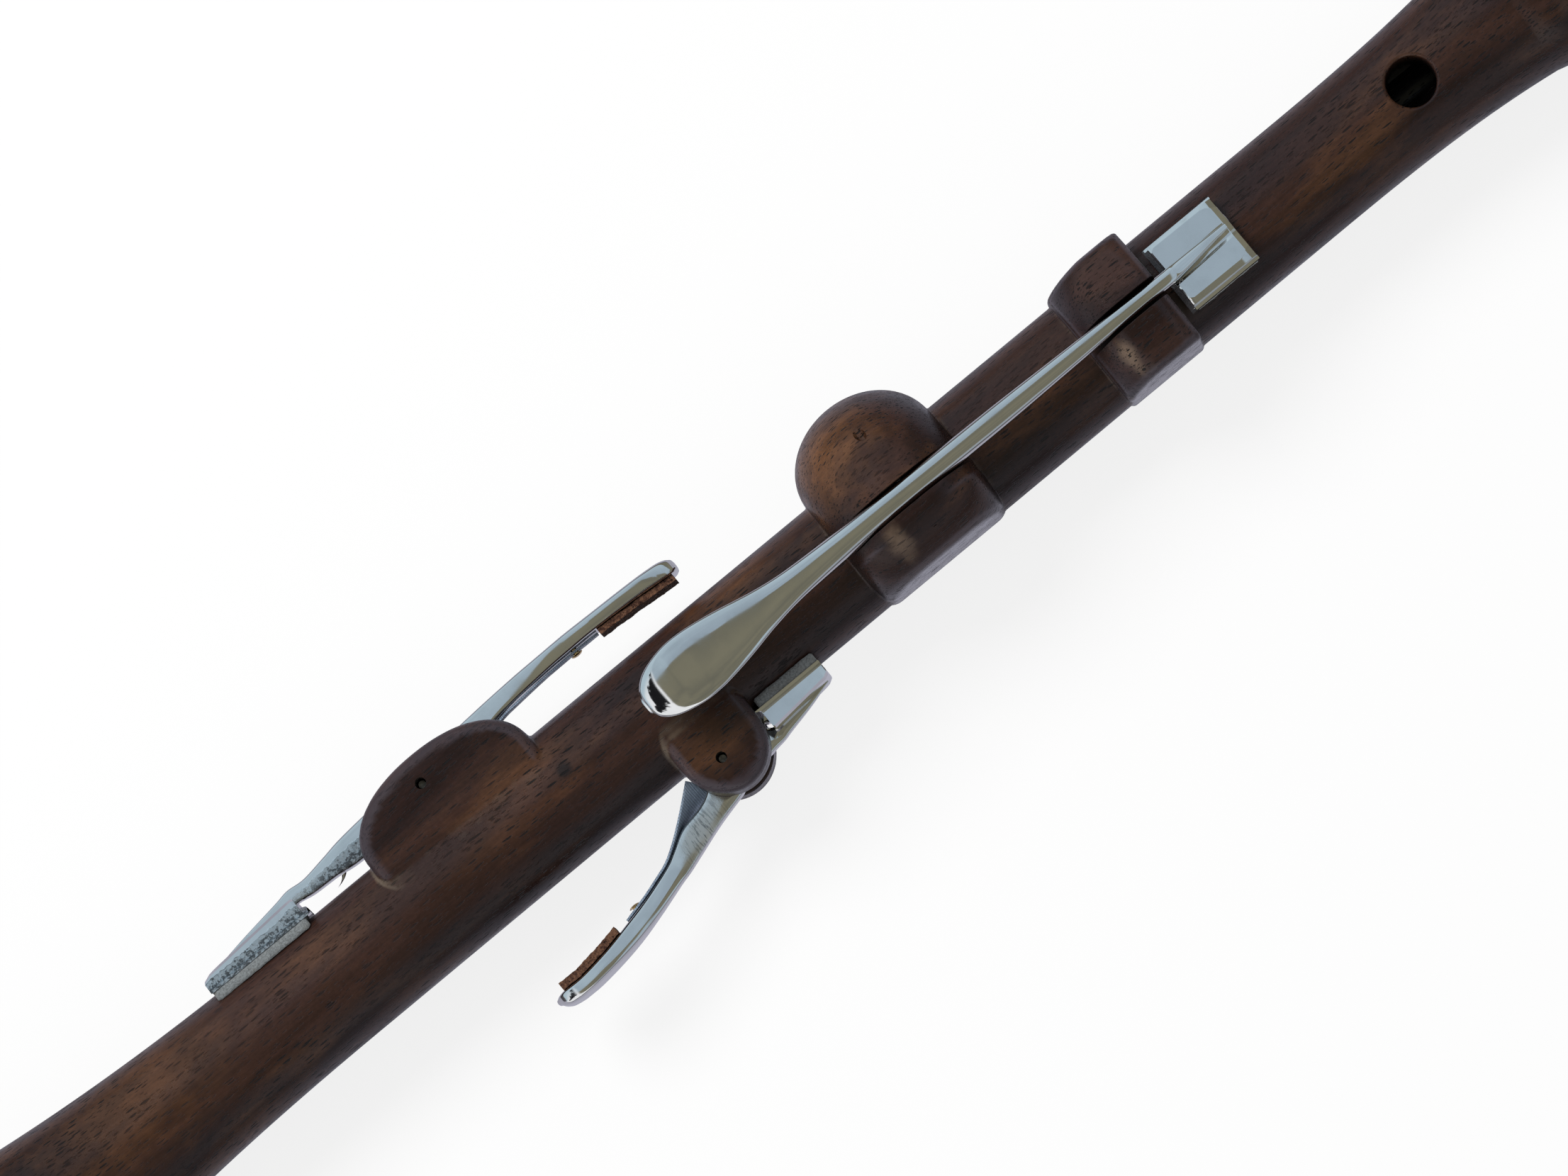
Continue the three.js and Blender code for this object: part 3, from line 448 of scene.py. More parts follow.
stations = wood_stations()[:, None]
way_y, way_z = np.cos(once_round(WOOD_SIDES)), np.sin(once_round(WOOD_SIDES))
reach = surface_reach(lambda r: wood_gap(stations, r * way_y, r * way_z), (len(stations), WOOD_SIDES))
wood = skin("fine_chanter_body", spread(stations, reach * way_y, reach * way_z))
print("the uncut wood has", len(stations), "rows and", len(wood.data.polygons), "faces")

# %% [markdown]
# ## The keys in numbers
# The wood is cut to take its keys, so their sizes come first. Each key's bar is a table of shares. A
# row of `touch` or `shank` says how far along its arm it is, then the bar's top and bottom as shares
# of the pin's height, and its half width as a share of the touch's. `cork_shares` and
# `spring_shares` are places along the touch's arm.

# %% The three keys
PIN_RADIUS, PIN_RECESS = 0.75, 0.7
PIN_SUNK, PIN_CHAMFER, PIN_END_SHARE = 2.0, 0.15, 0.78
SHANK_HALF_WIDTH, SLOT_GAP, SLOT_FLOOR_RISE = 1.7, 0.35, 0.35
GUIDE_SLOT_HALF = 1.75
long_key = dict(
    name="long", turn=0.0, towards=1, place_share=LONG_PLACE_SHARE, pivot_height=15.0, touch_arm=49.0,
    flap_arm=LONG_FLAP_ARM, flap_length=LONG_FLAP_LENGTH, hole_radius=2.6, touch_half=5.15, cork=1.8,
    touch=[
        [1, 1.185, 1.12, 0.28], [0.985, 1.228, 1.11, 0.52], [0.955, 1.27, 1.115, 0.74],
        [0.914, 1.3, 1.125, 0.89], [0.853, 1.313, 1.135, 1], [0.79, 1.308, 1.13, 1],
        [0.72, 1.293, 1.125, 0.92], [0.649, 1.273, 1.113, 0.8], [0.547, 1.25, 1.085, 0.6],
        [0.445, 1.24, 1.05, 0.47], [0.3, 1.24, 0.97, 0.41], [0.139, 1.25, 0.9, 0.375],
        [0, 1.247, 0.887, 0.37],
    ],
    shank=[
        [0.134, 1.2, 0.887, 0.355], [0.3, 1.13, 0.887, 0.335], [0.46, 1.07, 0.873, 0.29],
        [0.62, 1.03, 0.84, 0.25], [0.72, 1.01, 0.82, 0.235],
    ],
    cork_shares=(0.63, 0.93), spring_shares=(0.56, 0.36, 0.14),
)
left_key = dict(
    name="left", turn=-math.pi / 2, towards=-1, place_share=LEFT_PLACE_SHARE, pivot_height=13.6,
    touch_arm=48.7, flap_arm=43.3, flap_length=17.8, hole_radius=3.0, touch_half=4.0, cork=0.95,
    touch=[
        [1, 1.215, 1.075, 0.7], [0.985, 1.245, 1.06, 0.86], [0.95, 1.272, 1.065, 0.95],
        [0.85, 1.292, 1.095, 0.97], [0.7, 1.31, 1.125, 0.86], [0.6, 1.322, 1.13, 0.74],
        [0.48, 1.325, 1.125, 0.58], [0.33, 1.312, 1.09, 0.45], [0.2, 1.29, 0.99, 0.42],
        [0, 1.25, 0.86, 0.42],
    ],
    shank=[[0.31, 1.18, 0.835, 0.42], [0.42, 1.13, 0.87, 0.4], [0.52, 1.085, 0.885, 0.36]],
    cork_shares=(0.7, 0.98), spring_shares=(0.694, 0.34, 0.07),
)
right_key = dict(
    name="right", turn=math.pi / 2, towards=1, place_share=RIGHT_PLACE_SHARE, pivot_height=11.7,
    touch_arm=41.2, flap_arm=19.9, flap_length=11.2, hole_radius=2.8, touch_half=4.0, cork=1.2,
    touch=[
        [1, 2.045, 1.965, 0.35], [0.985, 2.1, 1.945, 0.62], [0.955, 2.145, 1.935, 0.85],
        [0.88, 2.165, 1.94, 1], [0.76, 2.13, 1.885, 0.98], [0.64, 2.065, 1.79, 0.8],
        [0.52, 1.96, 1.685, 0.58], [0.4, 1.835, 1.55, 0.45], [0.345, 1.785, 1.45, 0.425],
        [0.27, 1.7, 1.305, 0.425], [0.15, 1.565, 1.2, 0.425], [0, 1.435, 0.87, 0.425],
    ],
    shank=[[0.3, 1.3, 0.9, 0.4]],
    cork_shares=(0.68, 0.96), spring_shares=(0.63, 0.42, 0.15),
)
keys = (long_key, left_key, right_key)
for key in keys:
    key["pivot_x"] = key["place_share"] * PIPE_LENGTH
    key["far"] = key["pivot_x"] + key["towards"] * key["flap_arm"]
    key["near"] = key["far"] - key["towards"] * key["flap_length"]
    print(key["name"], "key: pivot at", round(key["pivot_x"], 1), "mm, pad from",
          round(key["near"], 1), "to", round(key["far"], 1), "mm")

# %% [markdown]
# ## Slots, holes and the bore
# Each key rocks in a slot, on a pin that is driven in from the side. The finger holes are drilled and
# their rims eased with a fingertip of sandpaper. Such a rim follows the round of the wood, so the
# cutter is not a plain drill: its last rings flare outwards and ride on the surface that they cut.

# %% Cutters that follow the surface
def surface_height(x, y, turn):
    """Height of the wood over a point (x, y) of a key's own view."""
    cos, sin = math.cos(turn), math.sin(turn)
    return surface_reach(lambda z: wood_gap(x, y * cos - z * sin, y * sin + z * cos), np.shape(x))


LIP_SPREAD = 1.2
SLOT_STEP = 0.4


def drill(name, x, radius, turn, flare, sides=56):
    """A drilled hole with an eased rim. Ring by ring its radius is R + f (1 - cos a), and it lies
    f (1 - sin a) under the wood's own surface, for a from 0 to 75 degrees; then it goes up and out."""
    around = once_round(sides)
    bend = np.radians([0, 15, 30, 45, 60, 75])[:, None]
    wide = radius + flare * (1 - np.cos(bend))
    xs, ys = x + wide * np.cos(around), wide * np.sin(around)
    zs = surface_height(xs, ys, turn) - flare * (1 - np.sin(bend))
    xs = np.concatenate([xs[:1], xs, x + (xs[-1:] - x) * LIP_SPREAD])
    ys = np.concatenate([ys[:1], ys, ys[-1:] * LIP_SPREAD])
    zs = np.concatenate([np.zeros((1, sides)), zs, zs[-1:] + OVERRUN])
    return skin(name, spread(xs, ys, zs), turn)


def slot_cutter(key, x0, x1, rim=0.3, half=SHANK_HALF_WIDTH + SLOT_GAP):
    """A saw slot with eased rims: upright walls, then a quarter round that rides on the wood."""
    floor = float(wood_radius(key["pivot_x"])) + SLOT_FLOOR_RISE
    x = np.arange(x0 - OVERRUN, x1 + OVERRUN, SLOT_STEP)[:, None]
    bend = np.radians([0, 25, 50, 72])
    wide = half + rim * (1 - np.cos(bend))
    widest = wide[-1] + rim

    def rim_height(side):
        """The quarter round's height on the left, side 1, or the right, side -1."""
        wood_height = surface_height(*np.broadcast_arrays(x, side * wide), key["turn"])
        return np.maximum(wood_height, floor + 2 * rim) - rim * (1 - np.sin(bend))

    low = np.full((len(x), 2), floor)
    high = np.full((len(x), 2), ball["radius"] + OVERRUN)
    ys = np.concatenate([[-half, half], wide, [widest, -widest], -wide[::-1]])
    zs = np.concatenate([low, rim_height(1), high, rim_height(-1)[:, ::-1]], 1)
    return skin(key["name"] + "_slot", spread(x, ys, zs), key["turn"])


def rod(name, ends, radius, turn=0.0, sides=32, across=None, sharp=50.0):
    """A round rod through the given places, along the pipe, or across it at (x, z) when `across` is
    set. Its radius is one number, or one for each place."""
    run = np.asarray(ends, float)[:, None]
    size = np.broadcast_to(radius, len(ends))[:, None]
    a, b = size * np.cos(once_round(sides)), size * np.sin(once_round(sides))
    points = spread(run, a, b) if across is None else spread(across[0] + a, run, across[1] + b)
    return skin(name, points, turn, sharp)


def pin_reach(key):
    """How far a pin's hole runs to the right and to the left of the slot's middle."""
    if key is not long_key:
        return -BLOCK_HALF_DEPTH, BLOCK_HALF_DEPTH
    chord = math.sqrt(ball["radius"] ** 2 - key["pivot_height"] ** 2)
    return PIN_RECESS - chord * ball["right_share"], chord


print("thumb hole rim height", surface_height(np.array(THUMB_X), np.array(0.0), 0.0).round(2), "mm")

# %% Cut the wood
LONG_SLOT_RIM = 0.12
THUMB_EASE, FRONT_EASE, KEY_EASE = 0.7, 0.6, 0.3
cutters = [
    slot_cutter(long_key, ball["x"] - ball["half"], ball["x"] + ball["half"], LONG_SLOT_RIM),
    slot_cutter(long_key, GUIDE_X, GUIDE_END, LONG_SLOT_RIM, GUIDE_SLOT_HALF),
    slot_cutter(left_key, left_block["x"] - left_block["half"], left_block["x"] + left_block["half"]),
    slot_cutter(right_key, *(right_block["x"] + end * right_block["half"] for end in (-1, 1))),
    drill("thumb_drill", THUMB_X, THUMB_RADIUS, 0.0, THUMB_EASE),
    rod("bore_reamer", (-0.01, THROAT_X), (BORE_FOOT_RADIUS, BORE_THROAT_RADIUS), sides=64),
    rod("seat_reamer", (THROAT_X, PIPE_LENGTH + OVERRUN), (REED_SEAT_RADIUS, REED_SEAT_RADIUS), sides=48),
]
for place_share, radius_share in zip(front_hole_place_shares, front_hole_radius_shares):
    radius = radius_share * FRONT_HOLE_RADIUS
    cutters.append(drill("front_drill", place_share * PIPE_LENGTH, radius, math.pi, FRONT_EASE))
for key in keys:
    right_end, left_end = pin_reach(key)
    ends = (right_end - (0 if key is long_key else OVERRUN), left_end + OVERRUN)
    hinge = (key["pivot_x"], key["pivot_height"])
    cutters.append(rod("pin_drill", ends, PIN_RADIUS + RUN_GAP, key["turn"], across=hinge))
    pad_x = (key["near"] + key["far"]) / 2
    cutters.append(drill("key_drill", pad_x, key["hole_radius"], key["turn"], KEY_EASE))
worked(wood, cutters)
print("the cut wood has", len(wood.data.polygons), "faces")

# %% [markdown]
# ## The keys
# A key is cast in one piece, filed and plated: a finger plate, a bar that rocks on the pin, and a
# flap over its hole. The bar is one profile carried along a path. Named heights and widths are given
# at a few places only, and a smooth curve through them gives the rest, so the light runs along the
# bar without kinks. The section is an oval with its own bend for the crown and for the belly.

# %% The bar of a key
FLAP = dict(half=5.9, near_thick=2.0, far_thick=1.0, bevel=0.8, spine_rise=1.7, spine_far_rise=0.15)
PAD_THICKNESS = 1.3
PLATE_THICKNESS = 0.45
PLATE_LEDGE = 0.45
PLATE_NEAR_REACH = 0.75
PLATE_NEAR_THIN = 0.3
SPINE_BEND_SHARE, SPINE_NEAR_DEPTH = 0.15, 2.5
SPINE_HALF_WIDTHS = (1.25, 1.2, 0.85, 0.45)


def curve_through(points, samples):
    """Points on the smooth curve through given rows: between rows P1 and P2 it is the cubic whose
    slopes are half of P2 - P0 and half of P3 - P1."""
    points = np.asarray(points, float)
    padded = np.concatenate([[2 * points[0] - points[1]], points, [2 * points[-1] - points[-2]]])
    p0, p1, p2, p3 = (padded[k:len(padded) - 3 + k, None, :] for k in range(4))
    t = np.linspace(0, 1, samples, endpoint=False)[None, :, None]
    square, cube = 2 * p0 - 5 * p1 + 4 * p2 - p3, 3 * p1 - p0 - 3 * p2 + p3
    curve = 0.5 * (2 * p1 + (p2 - p0) * t + square * t**2 + cube * t**3)
    return np.concatenate([curve.reshape(-1, points.shape[1]), points[-1:]])


def flap_plan(key):
    """Heights over the pipe's line where a key's flap lies: its pad's seat, the plate's underside and
    the flap's top at its near and far end."""
    seat = float(wood_radius((key["near"] + key["far"]) / 2)) + FIT_GAP
    under = seat + PAD_THICKNESS + FIT_GAP
    near_top, far_top = under + FLAP["near_thick"], under + FLAP["far_thick"]
    return dict(seat=seat, under=under, near_top=near_top, far_top=far_top)


def bar_rows(key):
    """Rows of (x, top, bottom, half width) from the finger's end to the tip of the flap's spine."""
    rise, wide, towards = key["pivot_height"], key["touch_half"], key["towards"]

    def rows_along(table, arm):
        return [[key["pivot_x"] + arm * s, t * rise, b * rise, w * wide] for s, t, b, w in table]

    plan = flap_plan(key)
    low = plan["far_top"] - FLAP["far_thick"] / 2
    spine_top = plan["near_top"] + FLAP["spine_rise"]
    level = key["near"] + (key["far"] - key["near"]) * SPINE_BEND_SHARE
    level_top = spine_top + (plan["far_top"] - spine_top) * SPINE_BEND_SHARE
    tip = key["far"] - towards * FLAP["bevel"]
    near_half, level_half, middle_half, tip_half = SPINE_HALF_WIDTHS
    spine = [
        [key["near"], spine_top, spine_top - SPINE_NEAR_DEPTH, near_half],
        [level, level_top, low, level_half],
        [(level + tip) / 2, (spine_top + plan["far_top"]) / 2, low, middle_half],
        [tip, plan["far_top"] + FLAP["spine_far_rise"], low, tip_half],
    ]
    touch = rows_along(key["touch"], -towards * key["touch_arm"])
    return np.array(touch + rows_along(key["shank"], towards * key["flap_arm"]) + spine)


TIP_REACH = 0.35
CROWN_MARGIN = 0.04


def bar(key, crown_share, crown_bend, belly_bend, side_bend, drafts, skew, samples=7, columns=48):
    """The whole bar. At each row the section goes round an angle a: across is w sgn(cos a)|cos a|^side,
    the height is the widest place plus (top - it) |sin a|^crown above, minus (it - bottom)
    |sin a|^belly below. A draft above zero narrows the crown and one below zero the belly; `drafts`
    gives it at shares of the finger's arm. `skew` leans the spine over the flap."""
    named = bar_rows(key)
    rows = curve_through(named, samples)
    rows[:, 1] = np.minimum(rows[:, 1], named[:, 1].max() - CROWN_MARGIN)
    x, top, bottom, half = rows[0]
    turns = np.radians([12, 35, 60])
    middle, rise = (top + bottom) / 2, (top - bottom) / 2 * np.sin(turns)
    tip_x = x - key["towards"] * TIP_REACH * np.cos(turns)
    tip = np.stack([tip_x, middle + rise, middle - rise, half * np.sin(turns)], -1)
    x, top, bottom, half = (column[:, None] for column in np.concatenate([tip, rows]).T)
    share = (key["pivot_x"] - x) * key["towards"] / key["touch_arm"]
    draft = np.interp(share, *np.array(drafts).T)
    cos, sin = np.cos(once_round(columns)), np.sin(once_round(columns))
    widest = top - crown_share * (top - bottom)
    up = np.abs(sin) ** crown_bend * (top - widest)
    down = np.abs(sin) ** belly_bend * (widest - bottom)
    heights = widest + np.where(sin > 0, up, -down)
    level = np.clip((heights - bottom) / (top - bottom), 0, 1)
    narrowed = 1 - np.where(draft > 0, draft * level, -draft * (1 - level))
    lean = np.clip((x - key["near"]) / (key["far"] - key["near"]), 0, 1) * skew
    across = half * np.sign(cos) * np.abs(cos) ** side_bend * narrowed + lean
    return skin("fine_" + key["name"] + "_key_lever", spread(x, across, heights), key["turn"], sharp=55)


print("the long bar has", len(bar_rows(long_key)), "named rows")


# %% [markdown]
# ## The flap
# Over its hole the key ends in a flap: a thin plate that follows the round wood, and on it two
# sloping tables with a groove between them, where the bar's spine dies away. The flap is a loop of
# corners that goes round the plate's underside, up one ledge, over both tables and down again. Only
# the heights change along the flap, so a few rows are enough.

# %% The flap of a key
EDGE_MARGIN = 0.09
GROOVE_TOP_HALF, GROOVE_SIDE_HALF, GROOVE_FLOOR_HALF = 1.75, 1.3, 0.9
PLATE_EDGE_SHARE, PLATE_LAYER, LEDGE_STEP, WALL_FOOT_RISE = 0.9, 0.01, 0.03, 0.1
RIGHT_BEVEL_SHARE, LEFT_BEVEL_SHARE, LEFT_TABLE_WIDER = 0.55, 0.4, 0.3
BURR = dict(off_pin=17.4, height=11.6, reach=1.9, drop=1.5, bend=0.5, thick=0.42, tip=0.05)


def supported(loops):
    """Loops with two more corners on every side, close to its ends, so that flat faces keep a flat
    shading up to their edges."""
    ahead = np.roll(loops, -1, axis=1)
    step = ahead - loops
    length = np.linalg.norm(step, axis=2).max(0)
    share = np.minimum(EDGE_MARGIN / np.maximum(length, 1e-6), 0.3)[None, :, None]
    return np.stack([loops, loops + step * share, ahead - step * share], 2).reshape(len(loops), -1, 3)


def flap_body(key, groove_deep, groove_shift, lean, flare, left_groove=0.45):
    """The flap as loops across the key. Its underside is z = sqrt(R^2 - y^2); over it stand the
    ledge, the side wall with its bevel, and the two tables beside the groove. The tables fall by
    `lean` per millimetre towards the left, the side walls stand out by `flare` at their top, and the
    groove is `left_groove` as deep on the left as on the right."""
    plan, half = flap_plan(key), FLAP["half"]
    t = np.array([
        -PLATE_NEAR_REACH / key["flap_length"], -0.002, 0.002, 0.02, 0.028, 0.07, 0.3, 0.6, 0.8,
        0.87, 0.912, 0.92, 0.928, 0.982, 0.99, 1.0,
    ])
    x = key["near"] + t * (key["far"] - key["near"])
    end_bevel = np.interp(t, [0.002, 0.02, 0.92, 0.99, 1.0], [0.16, 0, 0, 0.36, 0.6])
    corner_in = np.interp(t, [0, 0.07, 0.8, 0.87, 0.92, 1.0], [0.5, 0, 0, 0.22, 0.75, 1.1])
    ledge_slope = np.where(t < -0.01, PLATE_NEAR_THIN, 1)
    table = plan["near_top"] + np.clip(t, 0, 1) * (plan["far_top"] - plan["near_top"]) - end_bevel
    groove = table - groove_deep * np.interp(t, [0, 0.75, 1.0], [1, 0.25, 0.0])
    shallow = table + (groove - table) * left_groove
    shift = groove_shift * np.clip(t, 0, 1)
    wall = half - PLATE_LEDGE
    slim = wall - FLAP["bevel"]

    def under(y):
        return np.sqrt(plan["under"] ** 2 - np.square(y))

    def station(y, height, layers=0):
        """One corner of the loop: its y, and its height where the tables stand or the plate alone. A
        few thin layers on the plate keep corners apart there."""
        y = np.broadcast_to(y, x.shape)
        plate = under(y) + PLATE_THICKNESS * ledge_slope + PLATE_LAYER * layers
        return np.stack([x, y, np.where(t > 0, np.maximum(height - lean * y, plate), plate)], -1)

    plate_edge = under(half) + PLATE_THICKNESS * PLATE_EDGE_SHARE
    wall_foot = under(wall) + PLATE_THICKNESS
    bottom = [np.stack([x, np.full_like(x, y), np.full_like(x, under(y))], -1)
              for y in np.linspace(half, -half, 13)]
    over = [
        station(-half, plate_edge),
        station(-wall - LEDGE_STEP, wall_foot),
        station(-wall, wall_foot + WALL_FOOT_RISE, 1),
        station(-wall - flare, table - FLAP["bevel"] * RIGHT_BEVEL_SHARE, 2),
        station(-slim + corner_in, table, 3),
        station(-GROOVE_TOP_HALF + shift, table, 3),
        station(-GROOVE_SIDE_HALF + shift, groove, 2),
        station(-GROOVE_FLOOR_HALF + shift, groove, 2),
        station(GROOVE_FLOOR_HALF + shift, shallow, 2),
        station(GROOVE_SIDE_HALF + shift, shallow, 2),
        station(GROOVE_TOP_HALF + shift, table, 3),
        station(slim + LEFT_TABLE_WIDER - corner_in, table, 3),
        station(wall + flare, table - FLAP["bevel"] * LEFT_BEVEL_SHARE, 2),
        station(wall, wall_foot + WALL_FOOT_RISE, 1),
        station(wall + LEDGE_STEP, wall_foot),
        station(half, plate_edge),
    ]
    loops = np.concatenate([np.stack(bottom, 1), supported(np.stack(over, 1))[:, :-2]], 1)
    return skin(key["name"] + "_flap", loops, key["turn"], sharp=30)


def casting_burr(key):
    """The small hook of metal left under the left bar: a cone that bends as it thins."""
    t = np.linspace(0, 1, 9)[:, None]
    x = key["pivot_x"] + key["towards"] * (BURR["off_pin"] + BURR["reach"] * t**1.3)
    z = BURR["height"] - BURR["drop"] * t + BURR["bend"] * t**2
    thick = BURR["thick"] * (1 - t) ** 0.8 + BURR["tip"]
    around = once_round(10)
    return skin("burr", spread(x + thick * np.cos(around), thick * 0.9 * np.sin(around), z), key["turn"])


def even_shading(piece):
    """Let the large flat faces rule the shading of the small ones beside them."""
    even = piece.modifiers.new("even", "WEIGHTED_NORMAL")
    even.keep_sharp = True
    even.weight = 100
    apply_modifiers(piece)


def pin_drill(key):
    """The hole for the pin through a bar."""
    reach = key["touch_half"] + OVERRUN
    hinge = (key["pivot_x"], key["pivot_height"])
    return rod("bar_drill", (-reach, reach), PIN_RADIUS + RUN_GAP, key["turn"], across=hinge)


left_drafts = [[-1, 0.2], [0.2, 0.2], [0.55, 0.0], [0.9, 0.0], [1, 0.15]]
right_drafts = [[-1, -0.22], [0.55, -0.22], [0.8, -0.1], [1, -0.1]]
levers = {
    "long": bar(long_key, 0.42, 0.85, 0.4, 0.66, [[0, 0], [1, 0]], 0.75),
    "left": bar(left_key, 0.5, 0.5, 0.3, 0.34, left_drafts, 0.0),
    "right": bar(right_key, 0.5, 0.55, 0.34, 0.34, right_drafts, 0.0),
}
flaps = {
    "long": flap_body(long_key, 1.25, 0.6, 0.105, 0.0, left_groove=0.0),
    "left": flap_body(left_key, 0.9, 0.0, 0.0, -0.2),
    "right": flap_body(right_key, 0.9, 0.0, 0.0, 0.25),
}
for key in keys:
    lever = levers[key["name"]]
    extra = [casting_burr(key)] if key is left_key else []
    worked(lever, [flaps[key["name"]], *extra], "UNION", sharp=34)
    worked(lever, [pin_drill(key)], sharp=34)
    even_shading(lever)
    print(key["name"], "lever has", len(lever.data.polygons), "faces")

# %% [markdown]
# ## Pads, corks, springs, rivets and pins
# The pad is a leaf of suede over felt that closes the hole. Its cut edge is soft and a little fuzzy,
# so its outline is shaken by a few low waves. The cork under the finger plate is a ragged slice. The
# leaf spring lies along the bar and then bends down to the wood.

# %% Small pieces of a key
def waves(a, b, seed, size, count=14):
    """A rough but repeatable surface: a sum of slanting sine waves of falling height over a and b."""
    draw = np.random.default_rng(seed)
    total = np.zeros(np.broadcast(a, b).shape)
    for k in range(count):
        fa, fb = draw.normal(0, 1.0 + 0.35 * k, 2)
        total += np.sin(fa * a + fb * b + draw.uniform(0, 6.3)) / (1 + 0.35 * k)
    return size * total / 2.2


def touch_at(key, share):
    """(x, bottom, half width) of a bar at a share of its finger arm, read off the named rows."""
    shares, _, bottoms, halves = np.array(key["touch"])[::-1].T
    x = key["pivot_x"] - key["towards"] * np.asarray(share) * key["touch_arm"]
    bottom = np.interp(share, shares, bottoms) * key["pivot_height"]
    return x, bottom, np.interp(share, shares, halves) * key["touch_half"]


PAD = dict(side_gap=0.1, corner=0.35, lift=0.03, bulge=0.12, tuck=0.1, waver=0.05, fuzz=0.03)
PAD_END_SHARE, PAD_CORNER_SHARE, PAD_TOP_SHARE = 0.01, 0.03, 0.6


def pad_piece(key):
    """Suede between wood and plate: loops whose lower and upper faces are both round about the pipe's
    line, and whose edge bulges and wavers."""
    t = np.concatenate([[0.0, 0.012, 0.03], np.linspace(0.06, 0.94, 26), [0.97, 0.988, 1.0]])[:, None]
    x = key["near"] + (PAD_END_SHARE + (1 - 2 * PAD_END_SHARE) * t) * (key["far"] - key["near"])
    seat = flap_plan(key)["seat"]
    low, high = seat + PAD["lift"], seat + PAD_THICKNESS + FIT_GAP * PAD_TOP_SHARE
    corner = PAD["corner"] * np.clip(1 - np.minimum(t, 1 - t) / PAD_CORNER_SHARE, 0, 1)
    wide = FLAP["half"] - PAD["side_gap"] - corner + waves(x, 0 * x, 3, PAD["waver"])
    faces_half = wide - PAD["tuck"]
    across = np.linspace(-1, 1, 27)[None, :]
    side = np.linspace(0.15, 0.85, 5)[None, :]
    rise = low + side * (high - low)
    bulge = wide + PAD["bulge"] * np.sin(side * math.pi)
    loops = np.concatenate([
        spread(x, across * faces_half, low),
        spread(x, bulge, rise),
        spread(x, across[:, ::-1] * faces_half, high),
        spread(x, -bulge, rise[:, ::-1]),
    ], 1)
    loops[..., 2] = np.sqrt(np.maximum(loops[..., 2] ** 2 - loops[..., 1] ** 2, 1.0))
    loops[..., 1] += waves(loops[..., 0] * 2, loops[..., 2] * 3, 5, PAD["fuzz"])
    return skin("fine_" + key["name"] + "_key_pad", loops, key["turn"], sharp=60)


CORK_WIDTH_SHARE = 0.78
GLUE_GAP = 0.03
CORK_ROUGHNESS, CORK_LIFT_SHARE = 0.09, 0.8


def cork_piece(key, seed):
    """A slice of cork: a box whose loops follow the bar's underside, roughened by waves."""
    x, bottom, half = (value[:, None] for value in touch_at(key, np.linspace(*key["cork_shares"], 40)))
    half = half * CORK_WIDTH_SHARE
    side = np.linspace(-1, 1, 15)[None, :]
    upright = np.linspace(0.12, 0.88, 6)[None, :]
    top = bottom - GLUE_GAP
    low = top - key["cork"]
    loops = np.concatenate([
        spread(x, side * half, low),
        spread(x, half, low + upright * (top - low)),
        spread(x, -side * half, top),
        spread(x, -half, top - upright * (top - low)),
    ], 1)
    rough = waves(loops[..., 0] * 1.7, loops[..., 2] * 2.3 + loops[..., 1] * 1.9, seed, CORK_ROUGHNESS, 20)
    loops[..., 1] -= np.sign(loops[..., 1]) * np.abs(rough)
    loops[..., 2] = np.minimum(loops[..., 2] + rough * CORK_LIFT_SHARE, top)
    return skin("fine_" + key["name"] + "_key_cork", loops, key["turn"], sharp=60)


SPRING_THICKNESS, SPRING_HALF_WIDTH = 0.35, 1.2
TWISTED_HALF, TWIST = 2.3, math.radians(58)
SPRING_FLAT_ROWS, SPRING_LEAD_SHARE = 10, 0.33
RIVET = dict(radius=0.5, head=0.95, head_height=0.35, head_gap=0.22, length=1.3, place=0.25)


def spring_line(key):
    """Where the spring's upper face runs: along the bar's underside, then on a parabola to the wood."""
    fixed, leave, tip = key["spring_shares"]
    x, bottom, _ = touch_at(key, np.linspace(fixed, leave, SPRING_FLAT_ROWS))
    flat = np.stack([x, bottom - FIT_GAP], -1)
    tip_x = key["pivot_x"] - key["towards"] * tip * key["touch_arm"]
    slot_floor = float(wood_radius(key["pivot_x"])) + SLOT_FLOOR_RISE
    end = np.array([tip_x, max(slot_floor, float(wood_radius(tip_x))) + FIT_GAP + SPRING_THICKNESS])
    run = flat[-1] - flat[-2]
    lead = run / np.linalg.norm(run) * abs(tip_x - flat[-1][0]) * SPRING_LEAD_SHARE
    t = np.linspace(0, 1, 24)[1:, None]
    bend = (1 - t) ** 2 * flat[-1] + 2 * t * (1 - t) * (flat[-1] + lead) + t**2 * end
    return np.concatenate([flat, bend])


